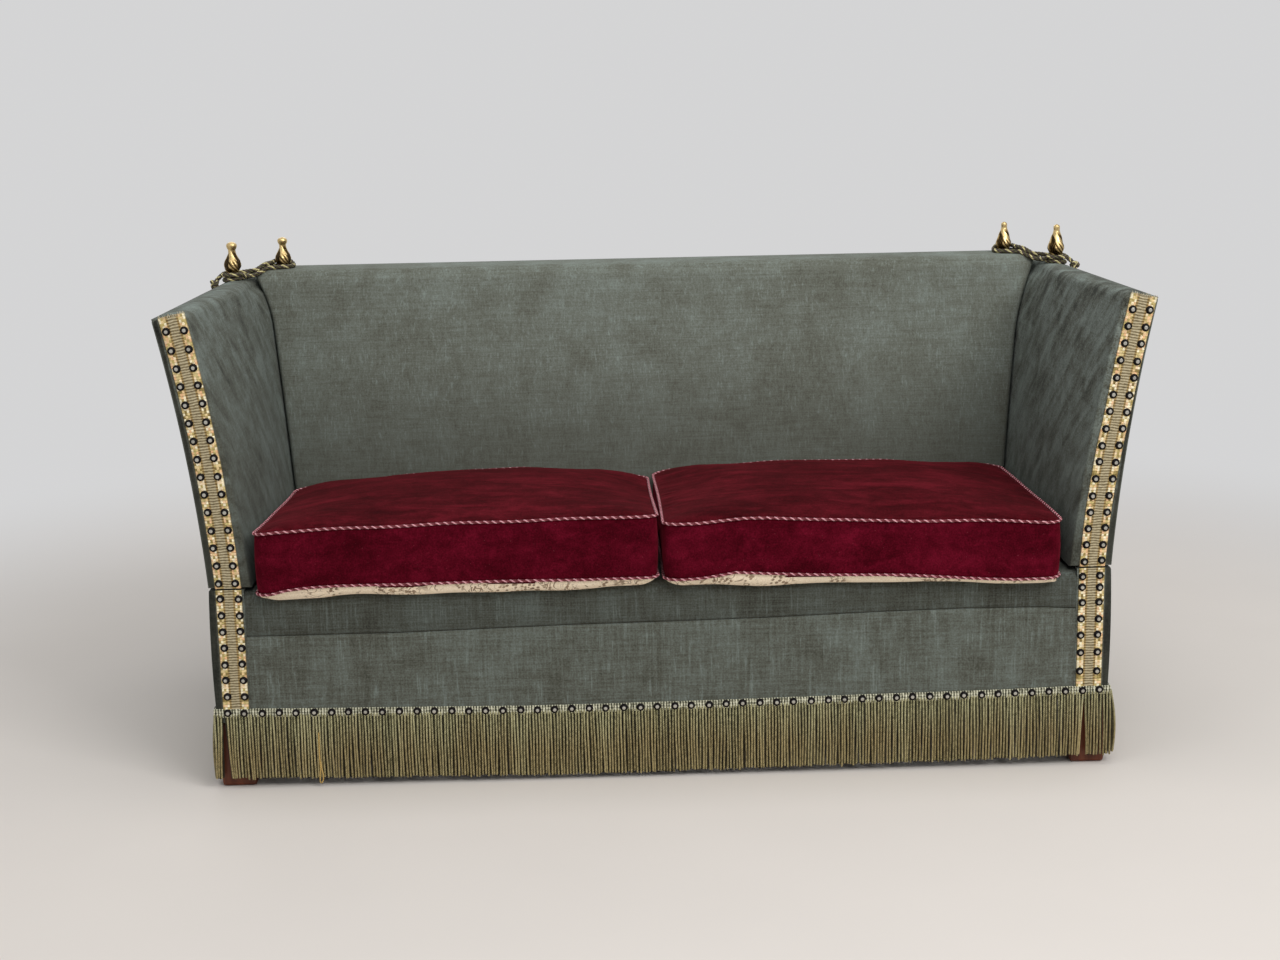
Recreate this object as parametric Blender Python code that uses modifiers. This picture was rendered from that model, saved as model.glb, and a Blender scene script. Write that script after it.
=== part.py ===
"""Two-seat settee: hinged arms tied to the back by cords, loose cushions, banded edges and a fringed base.

Metres, +Z up, front towards -Y. Places are measured back from the fabric's front plane, which
lies at FRONT_Y, so that the origin is the middle of the floor under the settee.
"""

import math

import bmesh
import bpy
from mathutils import Matrix, Vector

# Driving dimensions of the whole
BASE_HALF_WIDTH = 0.779
BASE_DEPTH = 0.660
SEAM_HEIGHT = 0.360
BACK_HEIGHT = 0.848
ARM_FRONT_DROP = 0.022
ARM_REAR_DROP = 0.020
ARM_FRONT_HEIGHT = BACK_HEIGHT - ARM_FRONT_DROP
ARM_REAR_HEIGHT = BACK_HEIGHT - ARM_REAR_DROP
BACK_LEAN = 0.040
BACK_REACH = BASE_DEPTH + BACK_LEAN
CUSHION_OVERHANG = 0.035
FRONT_Y = (CUSHION_OVERHANG - BACK_REACH) / 2
SIDES = (("left", -1), ("right", 1))

# Clearances and coverings
GAP = 0.0003
OVERRUN = 0.010
JOIN = 0.001
COVER = 0.0045
SEAM_HALF_GAP = 0.0015
EDGE_ROUND = 0.0015
RAIL_ROUND = 0.003

# Base frame
FOOT_WIDTH = 0.061
FOOT_HEIGHT = 0.120
FOOT_SETBACK = 0.008
FOOT_INSET = 0.0004
FOOT_ROUND = 0.006
POST_WIDTH = 0.028
RAIL_DROP = 0.030
RAIL_TOP = SEAM_HEIGHT - RAIL_DROP
POST_DROP = 0.030
POST_HEIGHT = RAIL_TOP - POST_DROP
RAIL_THICK = 0.028
STRETCHER_WIDTH = 0.045
STRETCHER_DROP = 0.080
WEB_WIDTH = 0.050
WEB_THICK = 0.0022
WEB_COUNT = 9
CROSS_WEB_COUNT = 4
CROSS_WEB_FIRST = 0.100
CROSS_WEB_END = 0.200
CROSS_WEB_PITCH = (BASE_DEPTH - CROSS_WEB_END - CROSS_WEB_FIRST) / (CROSS_WEB_COUNT - 1)
DUST_THICK = 0.0015
SILL_INSET = 0.009
SILL_WIDTH = 0.0508
SILL_OUTER = BASE_HALF_WIDTH - SILL_INSET
SILL_INNER = SILL_OUTER - SILL_WIDTH

# Seat deck and border
LIP_DROP = 0.086
LIP_HEIGHT = SEAM_HEIGHT - LIP_DROP
LIP_GAP = 0.0008
LIP_ROUND = 0.018
LIP_STEPS = 5
DECK_DROP = 0.0065
DECK_TOP = SEAM_HEIGHT - DECK_DROP
DECK_END = 0.1145
DECK_DEPTH = BASE_DEPTH - DECK_END
BORDER_HALF_WIDTH = SILL_INNER - JOIN
REAR_INSET = 0.0795
REAR_HALF_WIDTH = BASE_HALF_WIDTH - REAR_INSET

# Bands and fringe
BAND_THICK = 0.002
BAND_WIDTH = 0.045
BAND_INSET = 0.0125
HEADER_TOP = 0.1455
HEADER_HEIGHT = 0.0125
HEADER_THICK = 0.003
FRINGE_BOTTOM = 0.0195
FRINGE_THICK = 0.0065
FRINGE_RIB = 0.0018
FRINGE_PITCH = 0.0105
RIB_shares = ((0.12, 0), (0.5, 1), (0.88, 0))
FRINGE_SWAY = 0.0008
FRINGE_SWAY_LENGTH = 0.170

# Arms
ARM_END = 0.005
ARM_LENGTH = BASE_DEPTH - ARM_END
ARM_FLARE_FRONT = 0.065
ARM_FLARE_REAR = 0.036
CURVE_FRONT_share = 0.55
CURVE_REAR_share = 0.25
ARM_FOOT_THICK_FRONT = 0.074
ARM_FOOT_THICK_REAR = 0.079
ARM_TOP_THICK_FRONT = 0.057
ARM_TOP_THICK_REAR = 0.069
ARM_CROWN = 0.007
ARM_ROLL = 0.012
ARM_BOARD = 0.028
ARM_TOP_STUFFING = 0.018
ARM_TOP_LAP = 0.006
WINDOW_FRONT = 0.090
WINDOW_END = 0.155
WINDOW_REAR = ARM_LENGTH - WINDOW_END
ARM_CROWN_END = WINDOW_REAR
WINDOW_LOW_share = 0.13
WINDOW_HIGH_share = 0.81
ARM_STATIONS = 8
FACE_STEPS = 6
ROLL_STEPS = 3

# Hinges
HINGE_X = BASE_HALF_WIDTH - COVER
HINGE_INSETS = (0.120, 0.155)
HINGE_PLACES = (HINGE_INSETS[0], ARM_LENGTH - HINGE_INSETS[1])
HINGE_LENGTH = 0.066
LEAF_WIDTH = 0.026
LEAF_THICK = 0.0024
BARREL_RADIUS = 0.0038
PIN_RADIUS = 0.0017
BARREL_COUNT = 3
BARREL_SEGMENTS = 12
HINGE_ROOM = 0.0052
COVER_LIFT = 0.0045
COVER_RAMP = 0.020

# Back
SEAT_RISE = 0.090
BACK_FACE_HEIGHT = SEAM_HEIGHT + SEAT_RISE
BACK_FACE_SETBACK = 0.135
BACK_FACE_PLACE = BASE_DEPTH - BACK_FACE_SETBACK
BACK_RAKE_share = 0.176
BACK_PAD = 0.040
BACK_CROWN = 0.010
BACK_ROLL = 0.018
BACK_BOTTOM = DECK_TOP + GAP
BACK_SIDE_GAP = 0.0038
BACK_TOP_STUFFING = 0.022
BACK_POST_INSET = 0.101
BACK_POST_OUTER = BASE_HALF_WIDTH - BACK_POST_INSET
BACK_POST_THICK = 0.038
BACK_POST_FOOT = FOOT_HEIGHT + RAIL_THICK
BACK_POST_DEPTH = 0.060
TOP_RAIL_DROP = 0.056
TOP_RAIL_END = 0.012
LOWER_RAIL_RISE = 0.040
LOWER_RAIL_BOTTOM = SEAM_HEIGHT + LOWER_RAIL_RISE
LOWER_RAIL_HEIGHT = 0.060
BACK_STATIONS = 14

# Cushions
CUSHION_ROOM = 0.0145
CUSHION_INSET = 0.091
CUSHION_PITCH = BASE_HALF_WIDTH - CUSHION_INSET
CUSHION_SPACE = 0.008
CUSHION_WIDTH = CUSHION_PITCH - CUSHION_SPACE
CUSHION_DEPTH = BACK_FACE_PLACE - CUSHION_ROOM + CUSHION_OVERHANG
CUSHION_BORDER = 0.100
CUSHION_CROWN = 0.026
CUSHION_PULL = 0.007
CUSHION_BULGE = 0.004
CUSHION_CORNER = 0.008
CUSHION_SHIFT = -0.011
CUSHION_CELLS = (12, 10, 3)

# Finials and cords
FINIAL_HEIGHT = 0.063
FINIAL_RADII = (0.0110, 0.0145, 0.0155, 0.0125, 0.0085, 0.0064, 0.0074, 0.0085, 0.0060)
FINIAL_LEVELS_share = (0.0, 0.05, 0.15, 0.32, 0.50, 0.66, 0.76, 0.87, 0.965)
ARM_FINIAL_SINK = 0.001
ARM_STEM = 0.0135
STEM_RADIUS = 0.006
BACK_FINIAL_SINK = 0.006
FINIAL_STEPS = 20
BACK_FINIAL_INSET = 0.0605
BACK_FINIAL_X = BASE_HALF_WIDTH - BACK_FINIAL_INSET
BACK_FINIAL_SETBACK = 0.020
BACK_FINIAL_PLACE = BASE_DEPTH - BACK_FINIAL_SETBACK
ARM_FINIAL_OUTSET = 0.0245
ARM_FINIAL_X = BASE_HALF_WIDTH + ARM_FINIAL_OUTSET
ARM_FINIAL_SETBACK = 0.100
ARM_FINIAL_PLACE = ARM_LENGTH - ARM_FINIAL_SETBACK
CORD = 0.009
CORD_CLEARANCE = 0.0005
CORD_RISE = 0.0012
CORD_PITCH = CORD + CORD_RISE
CORD_SEAT = 0.0020
CORD_LIFT = CORD / 2 + CORD_SEAT
CORD_TURNS = 1
ARC_POINTS = 9
SPAN_POINTS = 3
LEAD_IN = 0.024
LEAD_POINTS = 3
STOPPER_SWELL = 0.0016
STOPPER_RADIUS = CORD / 2 + STOPPER_SWELL
EXIT_RUN = CORD * 4 / 3
EXIT_RADIUS = 2 * CORD
EXIT_POINTS = 6
KNOT_SWELL = 0.004
KNOT_RADIUS = CORD / 2 + KNOT_SWELL
KNOT_DROP = 0.034
KNOT_HEIGHT = BACK_HEIGHT - KNOT_DROP
TAIL_LENGTH = 0.190
TAIL_POINTS = 12
TASSEL_LENGTH = 0.105
TASSEL_RADII = (0.0050, 0.0105, 0.0125, 0.0100, 0.0072, 0.0120, 0.0150, 0.0165)
TASSEL_LEVELS_share = (0.0, 0.05, 0.13, 0.22, 0.29, 0.40, 0.70, 1.0)
TASSEL_RIBS = 10
TASSEL_RIB_share = 0.07
TASSEL_SIDES = 20

COLOURS = {
    "velour": ((0.150, 0.180, 0.155), 0.85, 0.0),
    "velvet": ((0.200, 0.010, 0.020), 0.80, 0.0),
    "gimp": ((0.480, 0.390, 0.200), 0.75, 0.0),
    "fringe": ((0.220, 0.210, 0.110), 0.80, 0.0),
    "cord": ((0.160, 0.130, 0.070), 0.75, 0.0),
    "brass": ((0.560, 0.400, 0.170), 0.35, 1.0),
    "steel": ((0.450, 0.440, 0.420), 0.40, 1.0),
    "stained_wood": ((0.180, 0.060, 0.030), 0.40, 0.0),
    "beech": ((0.560, 0.400, 0.240), 0.55, 0.0),
    "webbing": ((0.420, 0.360, 0.250), 0.85, 0.0),
    "lining": ((0.060, 0.060, 0.060), 0.90, 0.0),
}


def clear_scene():
    for old in list(bpy.data.objects):
        bpy.data.objects.remove(old, do_unlink=True)


def make_collection(name):
    collection = bpy.data.collections.new(name)
    bpy.context.scene.collection.children.link(collection)
    return collection


clear_scene()
SETTEE = make_collection("settee")
CUTTERS = make_collection("cutters")
MATERIALS = {}


def material(name):
    if name not in MATERIALS:
        made = bpy.data.materials.new(name)
        made.use_nodes = True
        colour, roughness, metallic = COLOURS[name]
        shader = made.node_tree.nodes["Principled BSDF"]
        shader.inputs["Base Color"].default_value = (*colour, 1)
        shader.inputs["Roughness"].default_value = roughness
        shader.inputs["Metallic"].default_value = metallic
        made.diffuse_color = (*colour, 1)
        MATERIALS[name] = made
    return MATERIALS[name]


def make_empty(name, place, parent=None):
    made = bpy.data.objects.new(name, None)
    made.location = place
    made.parent = parent
    SETTEE.objects.link(made)
    return made


FRONT = make_empty("front_plane", (0, FRONT_Y, 0))


def finish_mesh(name, shape, collection=SETTEE):
    """Object made of the bmesh shape, which it frees."""
    bmesh.ops.recalc_face_normals(shape, faces=shape.faces[:])
    mesh = bpy.data.meshes.new(name)
    shape.to_mesh(mesh)
    shape.free()
    made = bpy.data.objects.new(name, mesh)
    collection.objects.link(made)
    return made


def place_piece(piece, finish, axis=None):
    """Gives the piece its material, and hangs it on the front plane or on an empty on its joint's axis."""
    piece.data.materials.clear()
    piece.data.materials.append(material(finish))
    if piece.type == "MESH":
        piece.data.shade_smooth()
        piece.data.set_sharp_from_angle(angle=math.radians(35))
    if axis is None:
        piece.parent = FRONT
    else:
        piece.parent = axis
        piece.location = piece.location - axis.location
    return piece


def soften(piece, width=EDGE_ROUND, segments=1):
    bevel = piece.modifiers.new("rounded", "BEVEL")
    bevel.width = width
    bevel.segments = segments
    bevel.limit_method = "ANGLE"
    bevel.angle_limit = math.radians(40)
    return piece


def combine(piece, other, operation):
    """Boolean of the piece with another, which goes with the cutters."""
    modifier = piece.modifiers.new(operation.lower(), "BOOLEAN")
    modifier.operation = operation
    modifier.object = other
    for holder in list(other.users_collection):
        holder.objects.unlink(other)
    CUTTERS.objects.link(other)
    other.parent = piece
    other.hide_render = True
    other.display_type = "WIRE"
    return piece


def sorted_corners(first, second):
    low = tuple(min(pair) for pair in zip(first, second))
    high = tuple(max(pair) for pair in zip(first, second))
    return low, high


def box(name, low, high):
    shape = bmesh.new()
    size = Vector(high) - Vector(low)
    middle = (Vector(high) + Vector(low)) / 2
    bmesh.ops.create_cube(shape, size=1, matrix=Matrix.Translation(middle) @ Matrix.Diagonal((*size, 1)))
    return finish_mesh(name, shape)


def rod(name, low, high, radius, segments, far_radius=None):
    """Cylinder or cone from low to high."""
    shape = bmesh.new()
    run = Vector(high) - Vector(low)
    turn = run.to_track_quat("Z", "Y").to_matrix().to_4x4()
    middle = Matrix.Translation((Vector(high) + Vector(low)) / 2)
    end = radius if far_radius is None else far_radius
    bmesh.ops.create_cone(
        shape, cap_ends=True, segments=segments, radius1=radius, radius2=end, depth=run.length, matrix=middle @ turn
    )
    return finish_mesh(name, shape)


def ball(name, place, radius, segments=12):
    shape = bmesh.new()
    bmesh.ops.create_uvsphere(
        shape, u_segments=segments, v_segments=segments // 2 + 1, radius=radius, matrix=Matrix.Translation(place)
    )
    return finish_mesh(name, shape)


def loft(name, sections):
    """Closed solid through matching rings of points, capped at both ends."""
    shape = bmesh.new()
    rings = [[shape.verts.new(point) for point in section] for section in sections]
    count = len(rings[0])
    for ring, following in zip(rings, rings[1:]):
        for place in range(count):
            after = (place + 1) % count
            shape.faces.new((ring[place], ring[after], following[after], following[place]))
    shape.faces.new(rings[0])
    shape.faces.new(rings[-1])
    return finish_mesh(name, shape)


def extruded(name, outline, start, end):
    """Solid with the outline, given as (back, height) pairs, from start to end across the settee."""
    return loft(name, [[(across, *point) for point in outline] for across in (start, end)])


def arc(centre, radius, first, last, steps):
    """Points on a circle from one angle in degrees to another."""
    found = []
    for step in range(steps + 1):
        angle = math.radians(first + (last - first) * step / steps)
        found.append((centre[0] + radius * math.cos(angle), centre[1] + radius * math.sin(angle)))
    return found


def shares(steps):
    return [step / steps for step in range(steps + 1)]


def mix(first, last, share):
    return first + (last - first) * share


# The arm's shape: places back from the front plane, lifts above the seam, depths in from the outer face


def arm_height(back):
    return mix(ARM_FRONT_HEIGHT, ARM_REAR_HEIGHT, back / ARM_LENGTH) - SEAM_HEIGHT


def arm_outer(back, lift):
    rise = lift / arm_height(back)
    along = back / ARM_LENGTH
    curve = mix(CURVE_FRONT_share, CURVE_REAR_share, along)
    return BASE_HALF_WIDTH + mix(ARM_FLARE_FRONT, ARM_FLARE_REAR, along) * ((1 - curve) * rise + curve * rise**2)


def arm_slope(back, lift):
    rise = lift / arm_height(back)
    along = back / ARM_LENGTH
    curve = mix(CURVE_FRONT_share, CURVE_REAR_share, along)
    flare = mix(ARM_FLARE_FRONT, ARM_FLARE_REAR, along)
    return flare * (1 - curve + 2 * curve * rise) / arm_height(back)


def arm_thick(back, lift):
    along = back / ARM_LENGTH
    foot = mix(ARM_FOOT_THICK_FRONT, ARM_FOOT_THICK_REAR, along)
    top = mix(ARM_TOP_THICK_FRONT, ARM_TOP_THICK_REAR, along)
    return mix(foot, top, lift / arm_height(back))


def arm_inner(back, lift):
    return arm_outer(back, lift) - arm_thick(back, lift)


def arm_point(side, back, lift, depth):
    """Point of the arm, straight between its breaks. Deeper points lie higher, square to the flare."""
    height = arm_height(back)
    number = min(FACE_STEPS - 1, int(lift / height * FACE_STEPS))
    ends = []
    for rise in (number / FACE_STEPS, (number + 1) / FACE_STEPS):
        level = rise * height
        raised = SEAM_HEIGHT + level + depth * rise * arm_slope(back, level)
        ends.append(Vector((side * (arm_outer(back, level) - depth), back, raised)))
    return ends[0].lerp(ends[1], lift / height * FACE_STEPS - number)


def arm_breaks(back):
    return [share * arm_height(back) for share in shares(FACE_STEPS)]


def levels(bottom, top, breaks):
    """The bottom, the breaks that lie between, and the top."""
    return [bottom, *(level for level in breaks if bottom + GAP < level < top - GAP), top]


# The back's shape: heights above the floor, insets back from the padded face


def back_face(height):
    return BACK_FACE_PLACE + (height - BACK_FACE_HEIGHT) * BACK_RAKE_share


def back_rear(height):
    rise = max(0, height - SEAM_HEIGHT) / (BACK_HEIGHT - SEAM_HEIGHT)
    return mix(BASE_DEPTH, BACK_REACH, rise)


def back_half_width(back, height):
    return arm_inner(back, height - SEAM_HEIGHT) - BACK_SIDE_GAP


def padded_section(bottom, top, roll, crown, frame_inset, far_inset, stuffing, breaks):
    """Outline of a pad on one face of a frame that rolls over the frame's top, as (inset, height) pairs.

    Inset 0 is the padded face. frame_inset and far_inset give the frame's face and the roll's far end
    at a height, and stuffing is the roll's depth over the frame.
    """
    found = []
    for height in levels(bottom, top - roll, breaks):
        share = (height - bottom) / (top - roll - bottom)
        found.append((-crown * math.sin(math.pi * share), height))
    found += [(inset, height) for inset, height in arc((roll, top - roll), roll, 180, 90, ROLL_STEPS)[1:]]
    under = top - stuffing
    found += [(far_inset(top), top), (far_inset(under), under), (frame_inset(under), under)]
    for height in reversed(levels(bottom, under, breaks)[:-1]):
        found.append((frame_inset(height), height))
    return found


def make_feet():
    outer = BASE_HALF_WIDTH - FOOT_INSET
    for side_name, side in SIDES:
        for end_name, near in (("front", FOOT_SETBACK), ("rear", BASE_DEPTH - FOOT_SETBACK - FOOT_WIDTH)):
            low = (side * outer, near, 0)
            high = (side * (outer - FOOT_WIDTH), near + FOOT_WIDTH, FOOT_HEIGHT)
            name = f"foot_{end_name}_{side_name}"
            foot = soften(box(name, *sorted_corners(low, high)), FOOT_ROUND, 2)
            clear = COVER + GAP + RAIL_THICK + GAP
            post_x = BASE_HALF_WIDTH - clear
            post_y = clear if end_name == "front" else BASE_DEPTH - clear - POST_WIDTH
            low = (side * post_x, post_y, FOOT_HEIGHT - JOIN - FOOT_ROUND)
            high = (side * (post_x - POST_WIDTH), post_y + POST_WIDTH, POST_HEIGHT)
            combine(foot, box(name + "_post", *sorted_corners(low, high)), "UNION")
            place_piece(foot, "stained_wood")


def make_rails():
    bottom = FOOT_HEIGHT + GAP
    near = COVER + GAP
    side_out = BASE_HALF_WIDTH - near
    side_in = side_out - RAIL_THICK
    between = near + RAIL_THICK + GAP
    rails = {
        "front_rail": ((-side_out, near, bottom), (side_out, near + RAIL_THICK, RAIL_TOP)),
        "rear_rail": (
            (-side_out, BASE_DEPTH - near - RAIL_THICK, bottom),
            (side_out, BASE_DEPTH - near, RAIL_TOP),
        ),
        "centre_stretcher": (
            (-STRETCHER_WIDTH / 2, between, RAIL_TOP - STRETCHER_DROP),
            (STRETCHER_WIDTH / 2, BASE_DEPTH - between, RAIL_TOP),
        ),
    }
    for side_name, side in SIDES:
        rails[f"side_rail_{side_name}"] = sorted_corners(
            (side * side_in, between, bottom), (side * side_out, BASE_DEPTH - between, RAIL_TOP)
        )
    for name, corners in rails.items():
        place_piece(soften(box(name, *corners), RAIL_ROUND), "beech")


def make_webbing():
    """Lattice of straps tacked on top of the rails."""
    low = RAIL_TOP + GAP
    reach = SILL_OUTER
    near = COVER + GAP
    pitch = 2 * (SILL_INNER - WEB_WIDTH) / (WEB_COUNT - 1)
    webbing = None
    for number in range(CROSS_WEB_COUNT):
        middle = CROSS_WEB_FIRST + number * CROSS_WEB_PITCH
        strap = box(
            "seat_webbing" if webbing is None else f"cross_strap_{number}",
            (-reach, middle - WEB_WIDTH / 2, low),
            (reach, middle + WEB_WIDTH / 2, low + WEB_THICK),
        )
        webbing = strap if webbing is None else combine(webbing, strap, "UNION")
    for number in range(WEB_COUNT):
        middle = -(SILL_INNER - WEB_WIDTH) + number * pitch
        if abs(abs(middle) - BACK_POST_OUTER + BACK_POST_THICK / 2) < (WEB_WIDTH + BACK_POST_THICK) / 2:
            end = back_face(RAIL_TOP) + BACK_PAD - OVERRUN
        else:
            end = BASE_DEPTH - near
        strap = box(
            f"long_strap_{number}",
            (middle - WEB_WIDTH / 2, near, low),
            (middle + WEB_WIDTH / 2, end, low + WEB_THICK),
        )
        combine(webbing, strap, "UNION")
    place_piece(webbing, "webbing")


def make_sills():
    """Padded sills on the side rails, let in for the lower hinge leaves."""
    bottom = RAIL_TOP + GAP + WEB_THICK + GAP
    top = SEAM_HEIGHT - SEAM_HALF_GAP
    near = COVER + GAP
    for side_name, side in SIDES:
        low, high = sorted_corners(
            (side * SILL_INNER, near, bottom), (side * SILL_OUTER, BASE_DEPTH - near, top)
        )
        sill = box(f"arm_sill_{side_name}", low, high)
        for number, place in enumerate(HINGE_PLACES):
            combine(sill, leaf_recess(f"sill_recess_{side_name}_{number}", side, place, -1), "DIFFERENCE")
        place_piece(sill, "velour")


def leaf_recess(name, side, place, upward):
    """Cutter for one hinge leaf and its barrels, above the seam for upward 1 and below it for -1."""
    level = SEAM_HEIGHT + upward * SEAM_HALF_GAP
    deep = level + upward * (LEAF_THICK + GAP)
    half = HINGE_LENGTH / 2 + GAP
    inner = side * (HINGE_X - LEAF_WIDTH - GAP)
    outer = side * (HINGE_X + BARREL_RADIUS + GAP)
    low, high = sorted_corners((inner, place - half, deep), (outer, place + half, level - upward * OVERRUN))
    return box(name, low, high)


def make_deck():
    """Sprung seat's top with the padded lip that turns down over the front rail."""
    bottom = RAIL_TOP + GAP + WEB_THICK + GAP
    centre = (LIP_ROUND, DECK_TOP - LIP_ROUND)
    outline = [(0, LIP_HEIGHT + LIP_GAP)]
    outline += arc(centre, LIP_ROUND, 180, 90, LIP_STEPS)
    outline += [(DECK_DEPTH, DECK_TOP), (DECK_DEPTH, bottom), (COVER, bottom), (COVER, LIP_HEIGHT + LIP_GAP)]
    deck = extruded("seat_deck", outline, -BORDER_HALF_WIDTH, BORDER_HALF_WIDTH)
    place_piece(deck, "velour")


def make_border():
    border = box(
        "front_border", (-BORDER_HALF_WIDTH, 0, FOOT_HEIGHT), (BORDER_HALF_WIDTH, COVER, LIP_HEIGHT)
    )
    place_piece(soften(border, EDGE_ROUND), "velour")


def make_side_covers():
    """Fabric round each side of the base, with its returns on the front and on the rear."""
    outer_top = SEAM_HEIGHT - HINGE_ROOM
    return_top = SEAM_HEIGHT - SEAM_HALF_GAP
    far = BASE_DEPTH
    out = BASE_HALF_WIDTH
    stations = [
        ((BORDER_HALF_WIDTH + GAP, 0), (BORDER_HALF_WIDTH + GAP, COVER), return_top),
        ((SILL_OUTER + GAP, 0), (SILL_OUTER + GAP, COVER), return_top),
        ((out, 0), (out - COVER, COVER), outer_top),
        ((out, far), (out - COVER, far - COVER), outer_top),
        ((SILL_OUTER + GAP, far), (SILL_OUTER + GAP, far - COVER), return_top),
        ((REAR_HALF_WIDTH + GAP, far), (REAR_HALF_WIDTH + GAP, far - COVER), return_top),
    ]
    for side_name, side in SIDES:
        sections = []
        for outside, inside, top in stations:
            sections.append(
                [
                    (side * outside[0], outside[1], FOOT_HEIGHT),
                    (side * outside[0], outside[1], top),
                    (side * inside[0], inside[1], top),
                    (side * inside[0], inside[1], FOOT_HEIGHT),
                ]
            )
        place_piece(loft(f"side_cover_{side_name}", sections), "velour")


def make_dust_cover():
    reach = BASE_HALF_WIDTH - FOOT_INSET - FOOT_WIDTH - GAP
    cover = box(
        "dust_cover",
        (-reach, COVER + GAP, FOOT_HEIGHT - DUST_THICK),
        (reach, BASE_DEPTH - COVER - GAP, FOOT_HEIGHT),
    )
    place_piece(cover, "lining")


def make_base_bands():
    for side_name, side in SIDES:
        outer = BASE_HALF_WIDTH - BAND_INSET
        low, high = sorted_corners(
            (side * outer, -GAP - BAND_THICK, HEADER_TOP + GAP),
            (side * (outer - BAND_WIDTH), -GAP, SEAM_HEIGHT - SEAM_HALF_GAP),
        )
        place_piece(box(f"base_band_{side_name}", low, high), "gimp")


def fringe_outline(length):
    """Ribbed front edge and straight rear edge of a fringe, seen from above, along its own X."""
    count = round(length / FRINGE_PITCH)
    pitch = length / count
    found = []
    for number in range(count):
        for share, raised in RIB_shares:
            along = -length / 2 + (number + share) * pitch
            sway = FRINGE_SWAY * math.sin(along / FRINGE_SWAY_LENGTH * 2 * math.pi)
            found.append((along, -FRINGE_THICK + FRINGE_RIB * (1 - raised) - sway))
    rear = -GAP - HEADER_THICK / 2
    return [(-length / 2, rear), *found, (length / 2, rear)]


def make_fringe(name, length, middle, turn):
    """One side's fringe: strands that hang from a flat header, turned to face outwards."""
    outline = fringe_outline(length)
    levels_up = (FRINGE_BOTTOM, HEADER_TOP - HEADER_HEIGHT + HEADER_THICK)
    skirt = loft(name, [[(*place, level) for place in outline] for level in levels_up])
    header = box(
        name + "_header",
        (-length / 2, -GAP - HEADER_THICK, HEADER_TOP - HEADER_HEIGHT),
        (length / 2, -GAP, HEADER_TOP),
    )
    combine(skirt, header, "UNION")
    skirt.location = middle
    skirt.rotation_euler.z = turn
    place_piece(skirt, "fringe")


def make_fringes():
    out = BASE_HALF_WIDTH + GAP + FRINGE_THICK
    make_fringe("fringe_front", 2 * out, (0, 0, 0), 0)
    make_fringe("fringe_rear", 2 * out, (0, BASE_DEPTH, 0), math.pi)
    for side_name, side in SIDES:
        place = (side * BASE_HALF_WIDTH, BASE_DEPTH / 2, 0)
        make_fringe(f"fringe_{side_name}", BASE_DEPTH, place, side * math.pi / 2)


def make_arm_frame(side_name, side, axis):
    near_depth = COVER + GAP
    far_depth = near_depth + ARM_BOARD
    sections = []
    for share in shares(ARM_STATIONS):
        back = mix(COVER + GAP, ARM_LENGTH - COVER - GAP, share)
        lifts = levels(SEAM_HALF_GAP, arm_height(back) - ARM_TOP_STUFFING - GAP, arm_breaks(back))
        ring = [arm_point(side, back, lift, near_depth) for lift in lifts]
        ring += [arm_point(side, back, lift, far_depth) for lift in reversed(lifts)]
        sections.append(ring)
    frame = loft(f"arm_frame_{side_name}", sections)
    window = window_block(f"arm_window_{side_name}", side, near_depth - OVERRUN, far_depth + OVERRUN, 0)
    combine(frame, window, "DIFFERENCE")
    for number, place in enumerate(HINGE_PLACES):
        combine(frame, leaf_recess(f"frame_recess_{side_name}_{number}", side, place, 1), "DIFFERENCE")
    place_piece(frame, "beech", axis)


def window_block(name, side, near_depth, far_depth, inset):
    """Block in the arm frame's window, drawn in by inset all round."""
    sections = []
    for share in shares(ARM_STATIONS // 2):
        back = mix(WINDOW_FRONT + inset, WINDOW_REAR - inset, share)
        bottom = WINDOW_LOW_share * arm_height(back) + inset
        top = WINDOW_HIGH_share * arm_height(back) - inset
        lifts = levels(bottom, top, arm_breaks(back))
        ring = [arm_point(side, back, lift, near_depth) for lift in lifts]
        ring += [arm_point(side, back, lift, far_depth) for lift in reversed(lifts)]
        sections.append(ring)
    return loft(name, sections)


def make_arm_pad(side_name, side, axis):
    """Inner pad: crowned face, roll over the top, and the stuffing that fills the frame's window."""
    board_end = COVER + GAP + ARM_BOARD + 2 * GAP
    sections = []
    for share in shares(ARM_STATIONS):
        back = mix(0, ARM_LENGTH, share)
        top = arm_height(back)
        crown = ARM_CROWN * math.sin(math.pi * min(1, back / ARM_CROWN_END))
        outline = padded_section(
            SEAM_HALF_GAP,
            top,
            ARM_ROLL,
            crown,
            lambda lift, back=back: arm_thick(back, lift) - board_end,
            lambda lift, back=back: arm_thick(back, lift) - ARM_TOP_LAP,
            ARM_TOP_STUFFING,
            arm_breaks(back),
        )
        sections.append([arm_point(side, back, lift, arm_thick(back, lift) - inset) for inset, lift in outline])
    pad = loft(f"arm_pad_{side_name}", sections)
    plug = window_block(f"arm_stuffing_{side_name}", side, COVER + 2 * GAP, board_end + JOIN, 2 * GAP)
    combine(pad, plug, "UNION")
    seat = rod(
        f"finial_seat_{side_name}",
        (side * ARM_FINIAL_X, ARM_FINIAL_PLACE, arm_finial_height()),
        (side * ARM_FINIAL_X, ARM_FINIAL_PLACE, arm_finial_height() + ARM_STEM),
        STEM_RADIUS + GAP,
        FINIAL_STEPS,
    )
    combine(pad, seat, "DIFFERENCE")
    place_piece(pad, "velour", axis)


def arm_finial_height():
    """Level of the finial's foot, pressed a little into the roll of the arm."""
    lift = arm_height(ARM_FINIAL_PLACE)
    depth = arm_outer(ARM_FINIAL_PLACE, lift) - ARM_FINIAL_X
    return arm_point(1, ARM_FINIAL_PLACE, lift, depth).z - ARM_FINIAL_SINK


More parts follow.
